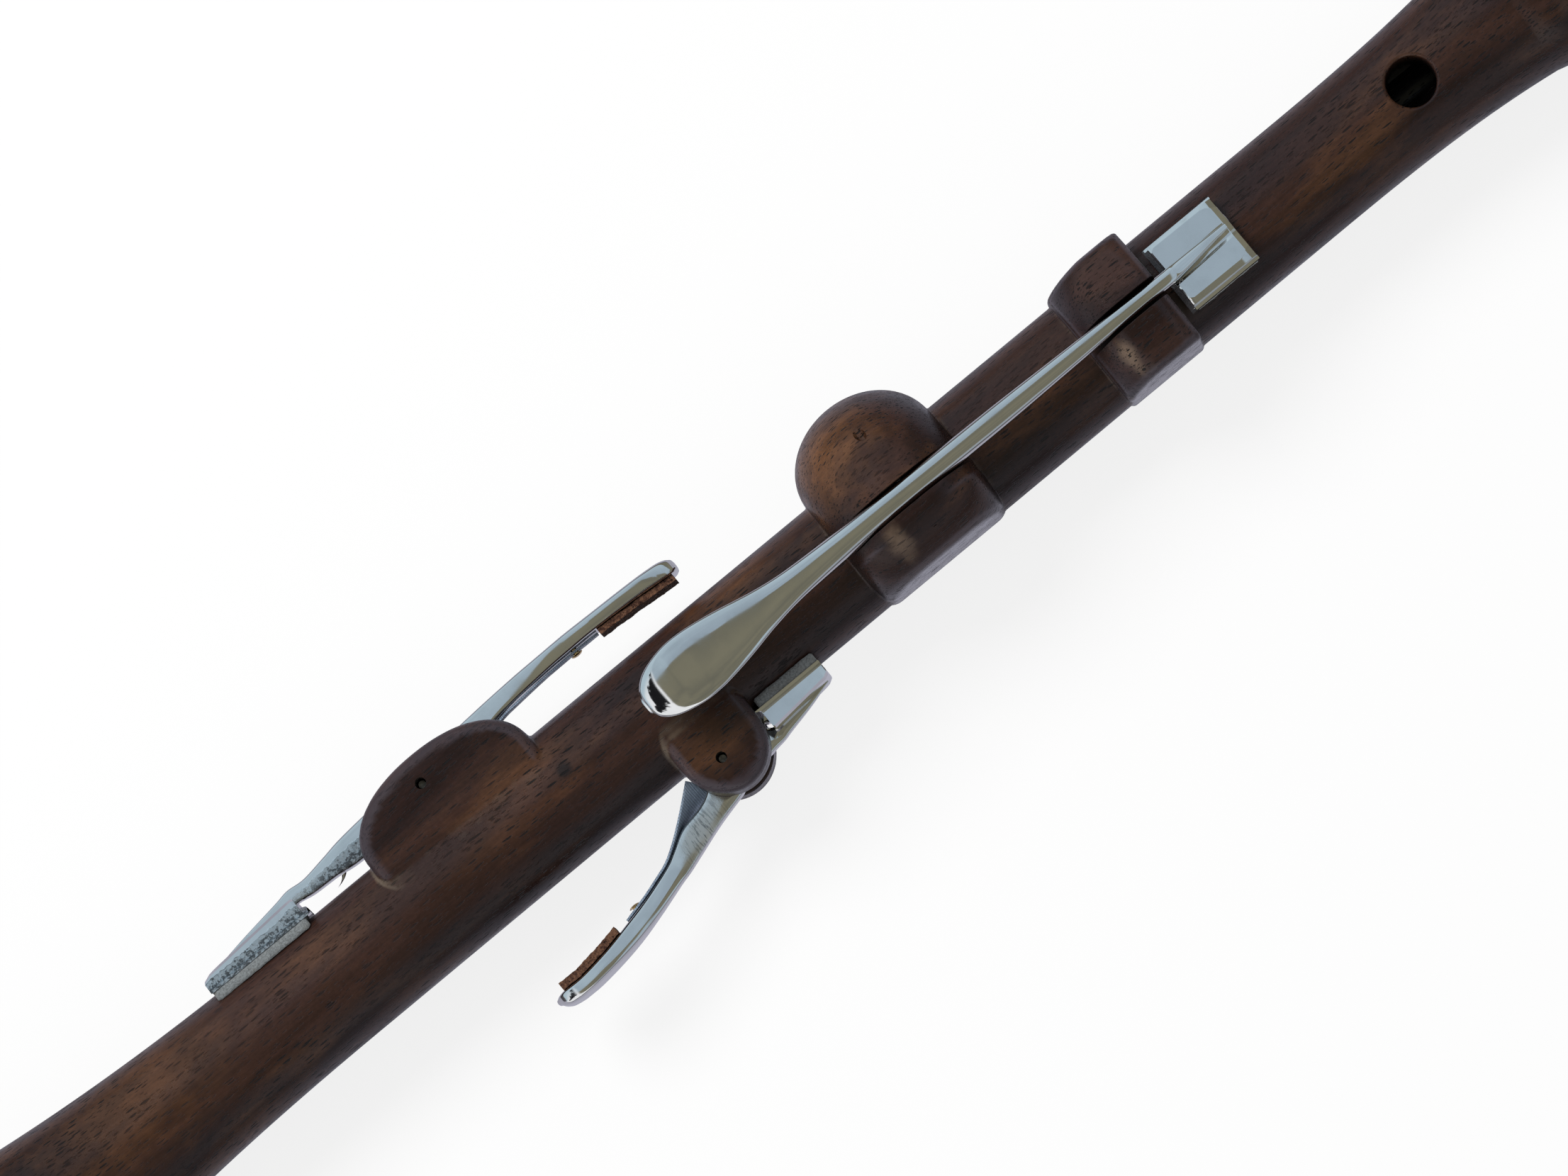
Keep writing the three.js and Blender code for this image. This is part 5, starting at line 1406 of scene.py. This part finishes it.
def rosewood_group():
    """Rosewood from its rings, fibres, pores and handling, with painted sheen on the rims, a painted
    reflection on the right flats and painted shade in holes and slots.
    """
    tree, place = new_surface("Rosewood")
    drift = grain(tree, place, (0.014, 0.09, 0.09), 3.0)
    split = put(tree, "SeparateXYZ", {0: place}).outputs
    side, rise = calc(tree, "SUBTRACT", split["Y"], PITH[0]), calc(tree, "SUBTRACT", split["Z"], PITH[1])
    squares = calc(tree, "ADD", calc(tree, "MULTIPLY", side, side), calc(tree, "MULTIPLY", rise, rise))
    away = calc(tree, "SQRT", squares)
    wavy = calc(tree, "MULTIPLY_ADD", drift, 16.0, away)
    ring, wide_ring = wave(tree, wavy, 2.3), wave(tree, wavy, 0.71)
    fibre = grain(tree, place, (0.22, 2.3, 2.3), 4.0, 0.65)
    cloud = grain(tree, place, (0.032, 0.11, 0.11), 4.0, 0.6)
    brown = mixed(tree, span(tree, wide_ring, 0.1, 0.9), WOOD_DARK, WOOD_BROWN)
    warm = mixed(tree, span(tree, cloud, 0.50, 0.72, 0.0, 0.38), brown, WOOD_WARM)
    for spot in WARM_SPOTS:
        warm = mixed(tree, spot_share(tree, place, *spot), warm, WOOD_WARM)
    toned = shaded(tree, warm, span(tree, ring, 0.0, 1.0, 0.84, 1.12))
    streaked = shaded(tree, toned, span(tree, fibre, 0.3, 0.7, 0.84, 1.15))
    streaked = shaded(tree, streaked, span(tree, noise(tree, place, 1.6, 4.0, 0.7), 0.3, 0.7, 0.88, 1.12))

    bent = calc(tree, "MULTIPLY_ADD", drift, 5.0, split["Y"])
    along_grain = put(tree, "CombineXYZ", {"X": split["X"], "Y": bent, "Z": split["Z"]}).outputs[0]
    crowd = span(tree, grain(tree, place, (0.03, 0.16, 0.16), 2.0), 0.36, 0.62, 0.55, 1.0)
    dash = cells(tree, stretched(tree, along_grain, (0.27, 1.9, 1.9)))
    thin_dash = cells(tree, stretched(tree, along_grain, (0.55, 3.6, 3.6)))
    pore = calc(tree, "MULTIPLY", span(tree, dash, 0.17, 0.29, 1.0, 0.0), crowd)
    thin = calc(tree, "MULTIPLY", span(tree, thin_dash, 0.14, 0.30, 0.62, 0.0), crowd)
    pores = calc(tree, "MAXIMUM", pore, thin)
    # Pale spots: wear on the ball, a painted highlight on the guide.
    worn_and_lit = streaked
    for spot in WORN_AND_LIT_SPOTS:
        worn_and_lit = mixed(tree, spot_share(tree, place, *spot), worn_and_lit, WOOD_WORN_AND_LIT)
    pored = mixed(tree, pores, worn_and_lit, PORE_AND_SHADE_DARK)

    from_knot = put(tree, "VectorMath", {0: place, 1: KNOT}, operation="DISTANCE").outputs["Value"]
    knot = span(tree, calc(tree, "MULTIPLY_ADD", drift, 1.5, from_knot), 1.3, 2.5, 0.8, 0.0)
    knotted = mixed(tree, knot, pored, PORE_AND_SHADE_DARK)
    crease, rim, inside = read_value(tree, "crease"), read_value(tree, "rim"), read_value(tree, "inside")
    grime = noise(tree, place, 0.6, 3.0)
    dust = span(tree, grime, 0.46, 0.62, 0.0, 0.12)
    for spot in DUST_SPOTS:
        dust = calc(tree, "MAXIMUM", dust, spot_share(tree, place, *spot))
    dusty = mixed(tree, calc(tree, "MULTIPLY", crease, dust), knotted, WOOD_DUST)
    # Painted sheen on the rims: a colour that stands in for the sky's reflection.
    painted_sheen = mixed(tree, calc(tree, "MULTIPLY", rim, 0.55), dusty, WOOD_SHEEN)
    # Painted reflection on the right flats, which are also made smoother.
    flat = read_value(tree, "flat")
    sawn = mixed(tree, calc(tree, "MULTIPLY", flat, 0.4), painted_sheen, WOOD_FLAT_REFLECTION)
    # Painted shade: wood inside holes, slots and bore turns near black.
    final = mixed(tree, inside, sawn, PORE_AND_SHADE_DARK)
    polish = span(tree, grain(tree, place, (0.05, 0.3, 0.3), 2.0), 0.35, 0.65, 0.25, 0.37)
    rough = calc(tree, "MULTIPLY_ADD", pores, 0.3, calc(tree, "MULTIPLY_ADD", flat, -0.19, polish))
    relief = calc(tree, "MULTIPLY_ADD", pores, -0.10, calc(tree, "MULTIPLY", fibre, 0.022))
    return close_group(tree, Color=final, Roughness=rough, Height=relief)


rosewood = material("rosewood", rosewood_group(), Specular_IOR_Level=0.3, IOR=1.5)
print("made", rosewood.name)

# %% [markdown]
# ## Nickel plate and raw casting
# The keys were buffed by hand before plating. The eye reads a buffed bar less by its colour than by
# what it mirrors, and a mirror that wanders a little shows handwork. So the plate's group mostly
# makes a slow swell in the surface, a faint haze and hair-fine scratches. On the sides of the small
# keys the same metal keeps its casting skin: dull, pitted and speckled dark.

# %% The metal's node groups
NICKEL = (0.76, 0.755, 0.74)
NICKEL_HAZE = (0.60, 0.60, 0.585)
CASTING = (0.66, 0.71, 0.75)
CASTING_PIT = (0.085, 0.085, 0.090)
STROKE_DARK = (0.20, 0.215, 0.225)
BRASS, BRASS_DULL = (0.78, 0.56, 0.27), (0.45, 0.29, 0.12)
# Pin steel, darkened beyond plain steel as painted shade, so the pins' ends read as dark holes.
SHADED_PIN_STEEL, SHADED_PIN_STEEL_DULL = (0.30, 0.30, 0.31), (0.12, 0.115, 0.11)
SPRING_STEEL, SPRING_STEEL_DULL = (0.37, 0.46, 0.58), (0.26, 0.33, 0.44)


def nickel_group():
    """Buffed plate, turning into casting skin where the side attribute and the level say so."""
    tree, place = new_surface("Nickel")
    haze = span(tree, noise(tree, place, 0.22, 4.0, 0.6), 0.4, 0.75)
    swell = noise(tree, place, 0.14, 1.0)
    scratch = grain(tree, place, (1.2, 9.0, 9.0), 3.0, 0.7, 0.4)
    plate = mixed(tree, calc(tree, "MULTIPLY", haze, 0.35), NICKEL, NICKEL_HAZE)

    level, side = read_value(tree, "level"), read_value(tree, "side")
    ragged = calc(tree, "MULTIPLY_ADD", noise(tree, place, 0.9, 3.0), 0.3, calc(tree, "ADD", level, -0.15))
    cast = calc(tree, "MULTIPLY", span(tree, ragged, 0.56, 0.64, 1.0, 0.0), side)
    grit = noise(tree, place, 1.5, 5.0, 0.72, 0.5)
    low_down = span(tree, ragged, 0.26, 0.60, 0.11, 0.0)
    pit = span(tree, calc(tree, "ADD", grit, low_down), 0.55, 0.65, 0.0, 0.85)
    speck = span(tree, cells(tree, place, 0.95), 0.16, 0.26, 0.8, 0.0)
    raw = mixed(tree, calc(tree, "MAXIMUM", pit, speck), CASTING, CASTING_PIT)
    colour = mixed(tree, cast, plate, raw)
    brushed = read_value(tree, "brushed")
    strokes = grain(tree, place, (3.2, 0.5, 0.5), 4.0, 0.7)
    stroke_share = calc(tree, "MULTIPLY", brushed, span(tree, strokes, 0.50, 0.62, 0.0, 0.9))
    colour = mixed(tree, stroke_share, colour, STROKE_DARK)
    gloss = calc(tree, "MULTIPLY_ADD", brushed, 0.40, span(tree, haze, 0.0, 1.0, 0.06, 0.13))
    rough = mixed(tree, cast, gloss, 0.42, numbers=True)
    filed = calc(tree, "MULTIPLY", calc(tree, "MULTIPLY", strokes, brushed), 0.05)
    swelling = calc(tree, "MULTIPLY_ADD", swell, 0.045, filed)
    smooth_height = calc(tree, "MULTIPLY_ADD", scratch, 0.0003, swelling)
    height = mixed(tree, cast, smooth_height, calc(tree, "MULTIPLY", grit, 0.30), numbers=True)
    return close_group(tree, Color=colour, Roughness=rough, Height=height)


def metal_group(name, bright, dull, rough, hatch=0.0):
    """A plain metal with tarnish. With `hatch`, fine lines cross it both ways, as rolled spring has."""
    tree, place = new_surface(name)
    tarnish = span(tree, noise(tree, place, 0.5, 4.0, 0.65), 0.35, 0.7)
    colour = mixed(tree, tarnish, bright, dull)
    height = calc(tree, "MULTIPLY", grain(tree, place, (0.8, 6.0, 6.0)), 0.004)
    if hatch:
        split = put(tree, "SeparateXYZ", {0: place}).outputs
        across = calc(tree, "ADD", split["Y"], split["Z"])
        slants = [calc(tree, slant, split["X"], across) for slant in ("ADD", "SUBTRACT")]
        first, second = (calc(tree, "SINE", calc(tree, "MULTIPLY", slant, hatch)) for slant in slants)
        weave = calc(tree, "MULTIPLY", first, second)
        colour = shaded(tree, colour, span(tree, weave, -0.5, 0.5, 0.62, 1.15))
        height = calc(tree, "MULTIPLY_ADD", weave, 0.02, height)
    dullness = span(tree, tarnish, 0, 1, rough, rough + 0.14)
    return close_group(tree, Color=colour, Roughness=dullness, Height=height)


nickel = material("nickel", nickel_group(), Metallic=1.0)
brass = material("brass", metal_group("Brass", BRASS, BRASS_DULL, 0.2), Metallic=1.0)
steel = material("steel", metal_group("Steel", SHADED_PIN_STEEL, SHADED_PIN_STEEL_DULL, 0.3), Metallic=1.0)
leaf_group = metal_group("Spring steel", SPRING_STEEL, SPRING_STEEL_DULL, 0.36, hatch=9.0)
leaf = material("spring steel", leaf_group, Metallic=0.25)
print("made", nickel.name, brass.name, steel.name, leaf.name)

# %% [markdown]
# ## Suede, cork, cane and thread
# The soft parts are told apart by their grain: suede has a mottled nap, cork has cells and dark
# pits, cane has straight fibres under a yellow bark, and waxed thread has a twist.

# %% The soft parts' node groups
SUEDE_DARK, SUEDE_PALE, SUEDE_GRIME = (0.165, 0.178, 0.182), (0.305, 0.335, 0.345), (0.20, 0.19, 0.165)
CORK_DARK, CORK_PALE, CORK_PIT = (0.050, 0.021, 0.014), (0.19, 0.095, 0.055), (0.022, 0.012, 0.010)
CANE_DARK, CANE_PALE, CANE_FLECK = (0.42, 0.27, 0.10), (0.74, 0.56, 0.28), (0.22, 0.12, 0.05)
THREAD_DARK, THREAD_PALE, THREAD_WAX = (0.10, 0.035, 0.020), (0.42, 0.17, 0.085), (0.30, 0.20, 0.12)


def suede_group():
    """Grey suede: a fine nap with clouds of grime over it."""
    tree, place = new_surface("Suede")
    nap = noise(tree, place, 3.2, 5.0, 0.7)
    cloud = noise(tree, place, 0.5, 3.0)
    colour = mixed(tree, span(tree, nap, 0.35, 0.65), SUEDE_DARK, SUEDE_PALE)
    colour = mixed(tree, span(tree, cloud, 0.5, 0.75, 0.0, 0.5), colour, SUEDE_GRIME)
    return close_group(tree, Color=colour, Roughness=span(tree, nap, 0, 1, 0.9, 1.0),
                       Height=calc(tree, "MULTIPLY", nap, 0.22))


def cork_group():
    """Reddish cork: cells, paler flecks and dark pits."""
    tree, place = new_surface("Cork")
    fleck = noise(tree, place, 1.9, 5.0, 0.7)
    cell = cells(tree, place, 1.4)
    colour = mixed(tree, span(tree, fleck, 0.38, 0.62), CORK_DARK, CORK_PALE)
    pit = span(tree, calc(tree, "MULTIPLY_ADD", fleck, 0.4, cell), 0.30, 0.44, 0.85, 0.0)
    colour = mixed(tree, pit, colour, CORK_PIT)
    height = calc(tree, "MULTIPLY_ADD", pit, -0.15, calc(tree, "MULTIPLY", fleck, 0.25))
    return close_group(tree, Color=colour, Roughness=span(tree, fleck, 0, 1, 0.75, 0.95), Height=height)


def cane_group():
    """Cane: straight fibres under a pale yellow bark with a few brown flecks."""
    tree, place = new_surface("Cane")
    fibre = grain(tree, place, (0.12, 5.0, 5.0), 4.0, 0.6)
    fleck = grain(tree, place, (0.35, 1.4, 1.4), 3.0)
    colour = mixed(tree, fibre, CANE_DARK, CANE_PALE)
    colour = mixed(tree, span(tree, fleck, 0.62, 0.72, 0.0, 0.7), colour, CANE_FLECK)
    return close_group(tree, Color=colour, Roughness=span(tree, fibre, 0, 1, 0.4, 0.6),
                       Height=calc(tree, "MULTIPLY", fibre, 0.04))


def thread_group():
    """Waxed thread: fine strands that slant across each turn."""
    tree, place = new_surface("Thread")
    strand = grain(tree, place, (6.0, 1.6, 1.6), 3.0, 0.6, 0.6)
    wax = noise(tree, place, 0.5, 2.0)
    colour = mixed(tree, strand, THREAD_DARK, THREAD_PALE)
    colour = mixed(tree, span(tree, wax, 0.5, 0.8, 0.0, 0.4), colour, THREAD_WAX)
    return close_group(tree, Color=colour, Roughness=span(tree, wax, 0, 1, 0.45, 0.7),
                       Height=calc(tree, "MULTIPLY", strand, 0.06))


suede = material("pad leather", suede_group(), Specular_IOR_Level=0.2, Sheen_Weight=0.3)
cork = material("cork", cork_group(), Specular_IOR_Level=0.3)
cane = material("cane", cane_group())
thread = material("thread", thread_group())
print("made", suede.name, cork.name, cane.name, thread.name)

# %% [markdown]
# ## Dressing the frame
# Each fine piece now takes the place of its plain solid: it hides the solid, gets its material and
# moves with the same body. A leaf spring is held by the key at one end and rests on the wood at the
# other; here it stays where it is drawn and joins no body.

# %% Each piece on its body
def dress(piece, finish, moves=True):
    """Give a piece its material and let it stand for the solid of the same name."""
    node = piece.name.removeprefix("fine_")
    piece.data.materials.clear()
    piece.data.materials.append(finish)
    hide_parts(node)
    if moves:
        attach(piece, frame["nodes"][node]["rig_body"])
    return piece


for piece in (wood, cap_wood):
    dress(piece, rosewood)
for piece in (*turned_metal, *levers.values()):
    dress(piece, nickel)
for piece in pads:
    dress(piece, suede)
for piece in (*corks, tenon_lap):
    dress(piece, cork)
for piece in (*rivets, staple, reed_bridle):
    dress(piece, brass)
for piece in pins:
    dress(piece, steel)
for piece in blades:
    dress(piece, cane)
for piece in (lapping, binding):
    dress(piece, thread)
for key, piece in zip(keys, springs):
    dress(piece, leaf, moves=False)
    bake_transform(piece)

# %% [markdown]
# ## Floor, sky and lamp
# The chanter was photographed under an open sky. A mirror shows nothing but its surroundings, so the
# keys need a sky: a large tent that only mirrors can see, pale blue on one side, dim and olive
# overhead where somebody leans over with a camera, and bright low down. Wood and floor don't see the
# tent. They are lit by an even white world and one large soft lamp, whose shadow the floor keeps.

# %% The stage
TENT_RADIUS = 2.5
SKY = (0.52, 0.66, 0.76)
SKY_HIGH = (0.36, 0.45, 0.54)
OVERHEAD = (0.228, 0.218, 0.160)
OVERHEAD_DIM = (0.170, 0.167, 0.132)
LOW_RIGHT = (0.36, 0.40, 0.45)
LOW_FOOT = (1.0, 1.02, 1.06)
SOMEONE = (0.012, 0.012, 0.014)
LEFT_SKY_EDGE, LEFT_SKY_END = (17.8, 19.2), (46.0, 50.0)
HEAD_SKY_EDGE, HEAD_SKY_END = (18.0, 21.0), (38.0, 42.0)
LOW_RIGHT_EDGE, LOW_FOOT_EDGE = (-61.0, -55.0), (-25.0, -21.5)
FIGURE_SLANT, FIGURE_RIM = -72.0, (14.0, 17.0)
FIGURE_FOOT, FIGURE_HEAD = (-72.0, -68.0), (-33.0, -29.0)
FLOOR_LIGHT_SHARE = 0.80
FLOOR_NEAR, FLOOR_FAR = (0.42, 0.42, 0.50), (0.10, 0.10, 0.11)
FLOOR_DIM_FROM = (0.04, 0.12)
FLOOR_HALF = 4.0
WORLD_LEVEL, LAMP_LEVEL = 0.38, 0.72
LAMP_PLACE, LAMP_SIZE = Vector((-0.35, 0.95, 1.35)), 0.9


def dome(name, radius, rows=24, columns=64):
    """A sky from just under the horizon to overhead: at height angle e and round angle a its points
    are r (cos e cos a, cos e sin a, sin e). Its faces look inwards."""
    height, around = np.radians(np.linspace(-8, 88, rows))[:, None], once_round(columns)
    points = spread(np.cos(height) * np.cos(around), np.cos(height) * np.sin(around), np.sin(height))
    last = (rows - 1) * columns + np.arange(columns)
    fan = np.stack([last, np.roll(last, -1), np.full(columns, rows * columns)], -1)
    faces = grid_faces(rows, columns)[:, ::-1].tolist() + fan[:, ::-1].tolist()
    mesh = bpy.data.meshes.new(name)
    mesh.from_pydata((points.reshape(-1, 3) * radius).tolist() + [[0, 0, radius]], [], faces)
    return placed(name, mesh)


def bare_material(name):
    """A material with an empty drawing, for what only gives light."""
    made = bpy.data.materials.new(name)
    made.use_nodes = True
    made.node_tree.nodes.clear()
    return made, made.node_tree


def tent_material():
    """Light by direction. With a the angle from overhead towards the left and b towards the head, both
    in degrees, the sky begins near a = 14 with a wavy edge, ends at b = 48 and lies between b = 20 and
    b = 40 too; low light begins near a = -63 and b = -27, and a dark figure stands in it."""
    made, tree = bare_material("tent")
    own = put(tree, "TexCoord").outputs["Object"]
    split = put(tree, "SeparateXYZ", {0: own}).outputs
    wobble = noise(tree, own, 1.3, 3.0)
    tilts = [calc(tree, "ARCTAN2", split[way], split["Z"]) for way in "YX"]
    to_left, to_head = (calc(tree, "MULTIPLY", tilt, math.degrees(1)) for tilt in tilts)

    def wavy_edge(angle, waviness, ends, to_low=0.0, to_high=1.0):
        """A soft edge across an angle that wanders with the wobble."""
        return span(tree, calc(tree, "MULTIPLY_ADD", wobble, waviness, angle), *ends, to_low, to_high)

    def between(angle, rise, fall):
        """One between two soft edges across an angle, and zero elsewhere."""
        return calc(tree, "MULTIPLY", span(tree, angle, *rise), span(tree, angle, *fall, 1.0, 0.0))

    left_sky = wavy_edge(to_left, 9.0, LEFT_SKY_EDGE)
    left_sky = calc(tree, "MULTIPLY", left_sky, span(tree, to_head, *LEFT_SKY_END, 1.0, 0.0))
    sky_share = calc(tree, "MAXIMUM", left_sky, between(to_head, HEAD_SKY_EDGE, HEAD_SKY_END))
    sky = mixed(tree, span(tree, split["Z"], 0.3, TENT_RADIUS), SKY, SKY_HIGH)
    sky = mixed(tree, span(tree, noise(tree, own, 0.9, 4.0), 0.4, 0.65, 0.0, 0.5), sky, SKY)
    overhead = mixed(tree, span(tree, noise(tree, own, 2.0), 0.30, 0.75), OVERHEAD, OVERHEAD_DIM)
    colour = mixed(tree, sky_share, overhead, sky)
    colour = mixed(tree, wavy_edge(to_left, 10.0, LOW_RIGHT_EDGE, 1.0, 0.0), colour, LOW_RIGHT)
    foot_light = mixed(tree, span(tree, to_left, 5.0, 45.0), LOW_FOOT, SKY)
    colour = mixed(tree, wavy_edge(to_head, 8.0, LOW_FOOT_EDGE, 1.0, 0.0), colour, foot_light)
    slant = calc(tree, "ADD", calc(tree, "SUBTRACT", to_left, to_head), FIGURE_SLANT)
    limbs = noise(tree, own, 3.6, 3.0, 0.7)
    from_figure = calc(tree, "ABSOLUTE", calc(tree, "MULTIPLY_ADD", limbs, 44.0, slant))
    figure = span(tree, from_figure, *FIGURE_RIM, 1.0, 0.0)
    figure = calc(tree, "MULTIPLY", figure, between(to_head, FIGURE_FOOT, FIGURE_HEAD))
    light = put(tree, "Emission", {"Color": mixed(tree, figure, colour, SOMEONE), "Strength": 1.0})
    put(tree, "OutputMaterial", {"Surface": light.outputs[0]})
    return made


def floor_material():
    """A pale floor that keeps a soft shadow: for the camera part of it is plain white light. Mirrors see
    it grey near the pipe and dim farther out, so that a bar's lower edge stays dark."""
    made, tree = bare_material("floor")
    paint = put(tree, "BsdfDiffuse", {"Color": (0.92, 0.92, 0.92, 1)})
    rays = put(tree, "LightPath").outputs
    own = put(tree, "TexCoord").outputs["Object"]
    away = calc(tree, "ABSOLUTE", put(tree, "SeparateXYZ", {0: own}).outputs["Y"])
    mirrored = mixed(tree, span(tree, away, *FLOOR_DIM_FROM), FLOOR_NEAR, FLOOR_FAR)
    seen = mixed(tree, rays["Is Glossy Ray"], (1, 1, 1), mirrored)
    light = put(tree, "Emission", {"Color": seen, "Strength": 1.03})
    direct = calc(tree, "MULTIPLY", rays["Is Camera Ray"], FLOOR_LIGHT_SHARE)
    share = calc(tree, "MAXIMUM", direct, rays["Is Glossy Ray"])
    mix = put(tree, "MixShader", {0: share, 1: paint.outputs[0], 2: light.outputs[0]})
    put(tree, "OutputMaterial", {"Surface": mix.outputs[0]})
    return made


tent = dome("tent", TENT_RADIUS)
tent.data.materials.append(tent_material())
for ray in ("camera", "diffuse", "transmission", "volume_scatter", "shadow"):
    setattr(tent, "visible_" + ray, False)

corner = np.array([[-1, -1, 0], [1, -1, 0], [1, 1, 0], [-1, 1, 0]]) * FLOOR_HALF
floor_mesh = bpy.data.meshes.new("floor")
floor_mesh.from_pydata(corner.tolist(), [], [[0, 1, 2, 3]])
floor = placed("floor", floor_mesh)
floor_mesh.materials.append(floor_material())

lamp = placed("lamp", bpy.data.lights.new("lamp", "AREA"))
lamp.location = LAMP_PLACE
lamp.rotation_euler = (-LAMP_PLACE).to_track_quat("-Z", "Y").to_euler()
lamp.data.shape = "DISK"
lamp.data.size = LAMP_SIZE
lamp.data.energy = LAMP_LEVEL * math.pi**2 * LAMP_PLACE.length_squared
lamp.visible_glossy = False

world = bpy.data.worlds.new("world")
bpy.context.scene.world = world
world.use_nodes = True
sky_tree = world.node_tree
rays = put(sky_tree, "LightPath").outputs
seen = calc(sky_tree, "MAXIMUM", rays["Is Camera Ray"], rays["Is Glossy Ray"])
seen = calc(sky_tree, "MAXIMUM", seen, rays["Is Transmission Ray"])
level = calc(sky_tree, "MULTIPLY_ADD", seen, 1 - WORLD_LEVEL, WORLD_LEVEL)
ground = sky_tree.nodes["Background"]
ground.inputs["Color"].default_value = (1, 1, 1, 1)
sky_tree.links.new(level, ground.inputs["Strength"])
print("lamp at", round(LAMP_PLACE.length, 2), "m with", round(lamp.data.energy, 1), "W")

# %% [markdown]
# ## The camera
# The photograph looks straight down on the back of the chanter, which crosses the picture from the
# lower left to the upper right, rolled a little towards the right hand side. It is cropped at both
# ends, so the camera shows the middle of the pipe only, and its width is set in real millimetres.

# %% Camera at the photograph's angle
VIEW_WIDTH = 230.0 * MM
VIEW_DISTANCE = 1.80
VIEW_ROLL = math.radians(7.0)
VIEW_SLANT = math.radians(39.66)
VIEW_ALONG, VIEW_ASIDE = 154.1, 2.6

chanter_way = Vector((1, 0, 0))
key_way = Vector((0, math.cos(VIEW_ROLL), math.sin(VIEW_ROLL)))
back = chanter_way.cross(key_way)
right = chanter_way * math.cos(VIEW_SLANT) - key_way * math.sin(VIEW_SLANT)
up = chanter_way * math.sin(VIEW_SLANT) + key_way * math.cos(VIEW_SLANT)
target = Vector(PIPE_LINE) + chanter_way * VIEW_ALONG * MM + key_way * VIEW_ASIDE * MM

camera = placed("camera", bpy.data.cameras.new("camera"))
camera.data.sensor_width = 36
camera.data.lens = camera.data.sensor_width * VIEW_DISTANCE / VIEW_WIDTH
camera.matrix_world = Matrix((right, up, back)).transposed().to_4x4()
camera.location = target + back * VIEW_DISTANCE
bpy.context.scene.camera = camera
bpy.context.scene.view_settings.view_transform = "Standard"
print("the camera stands at", [round(value, 3) for value in camera.location])
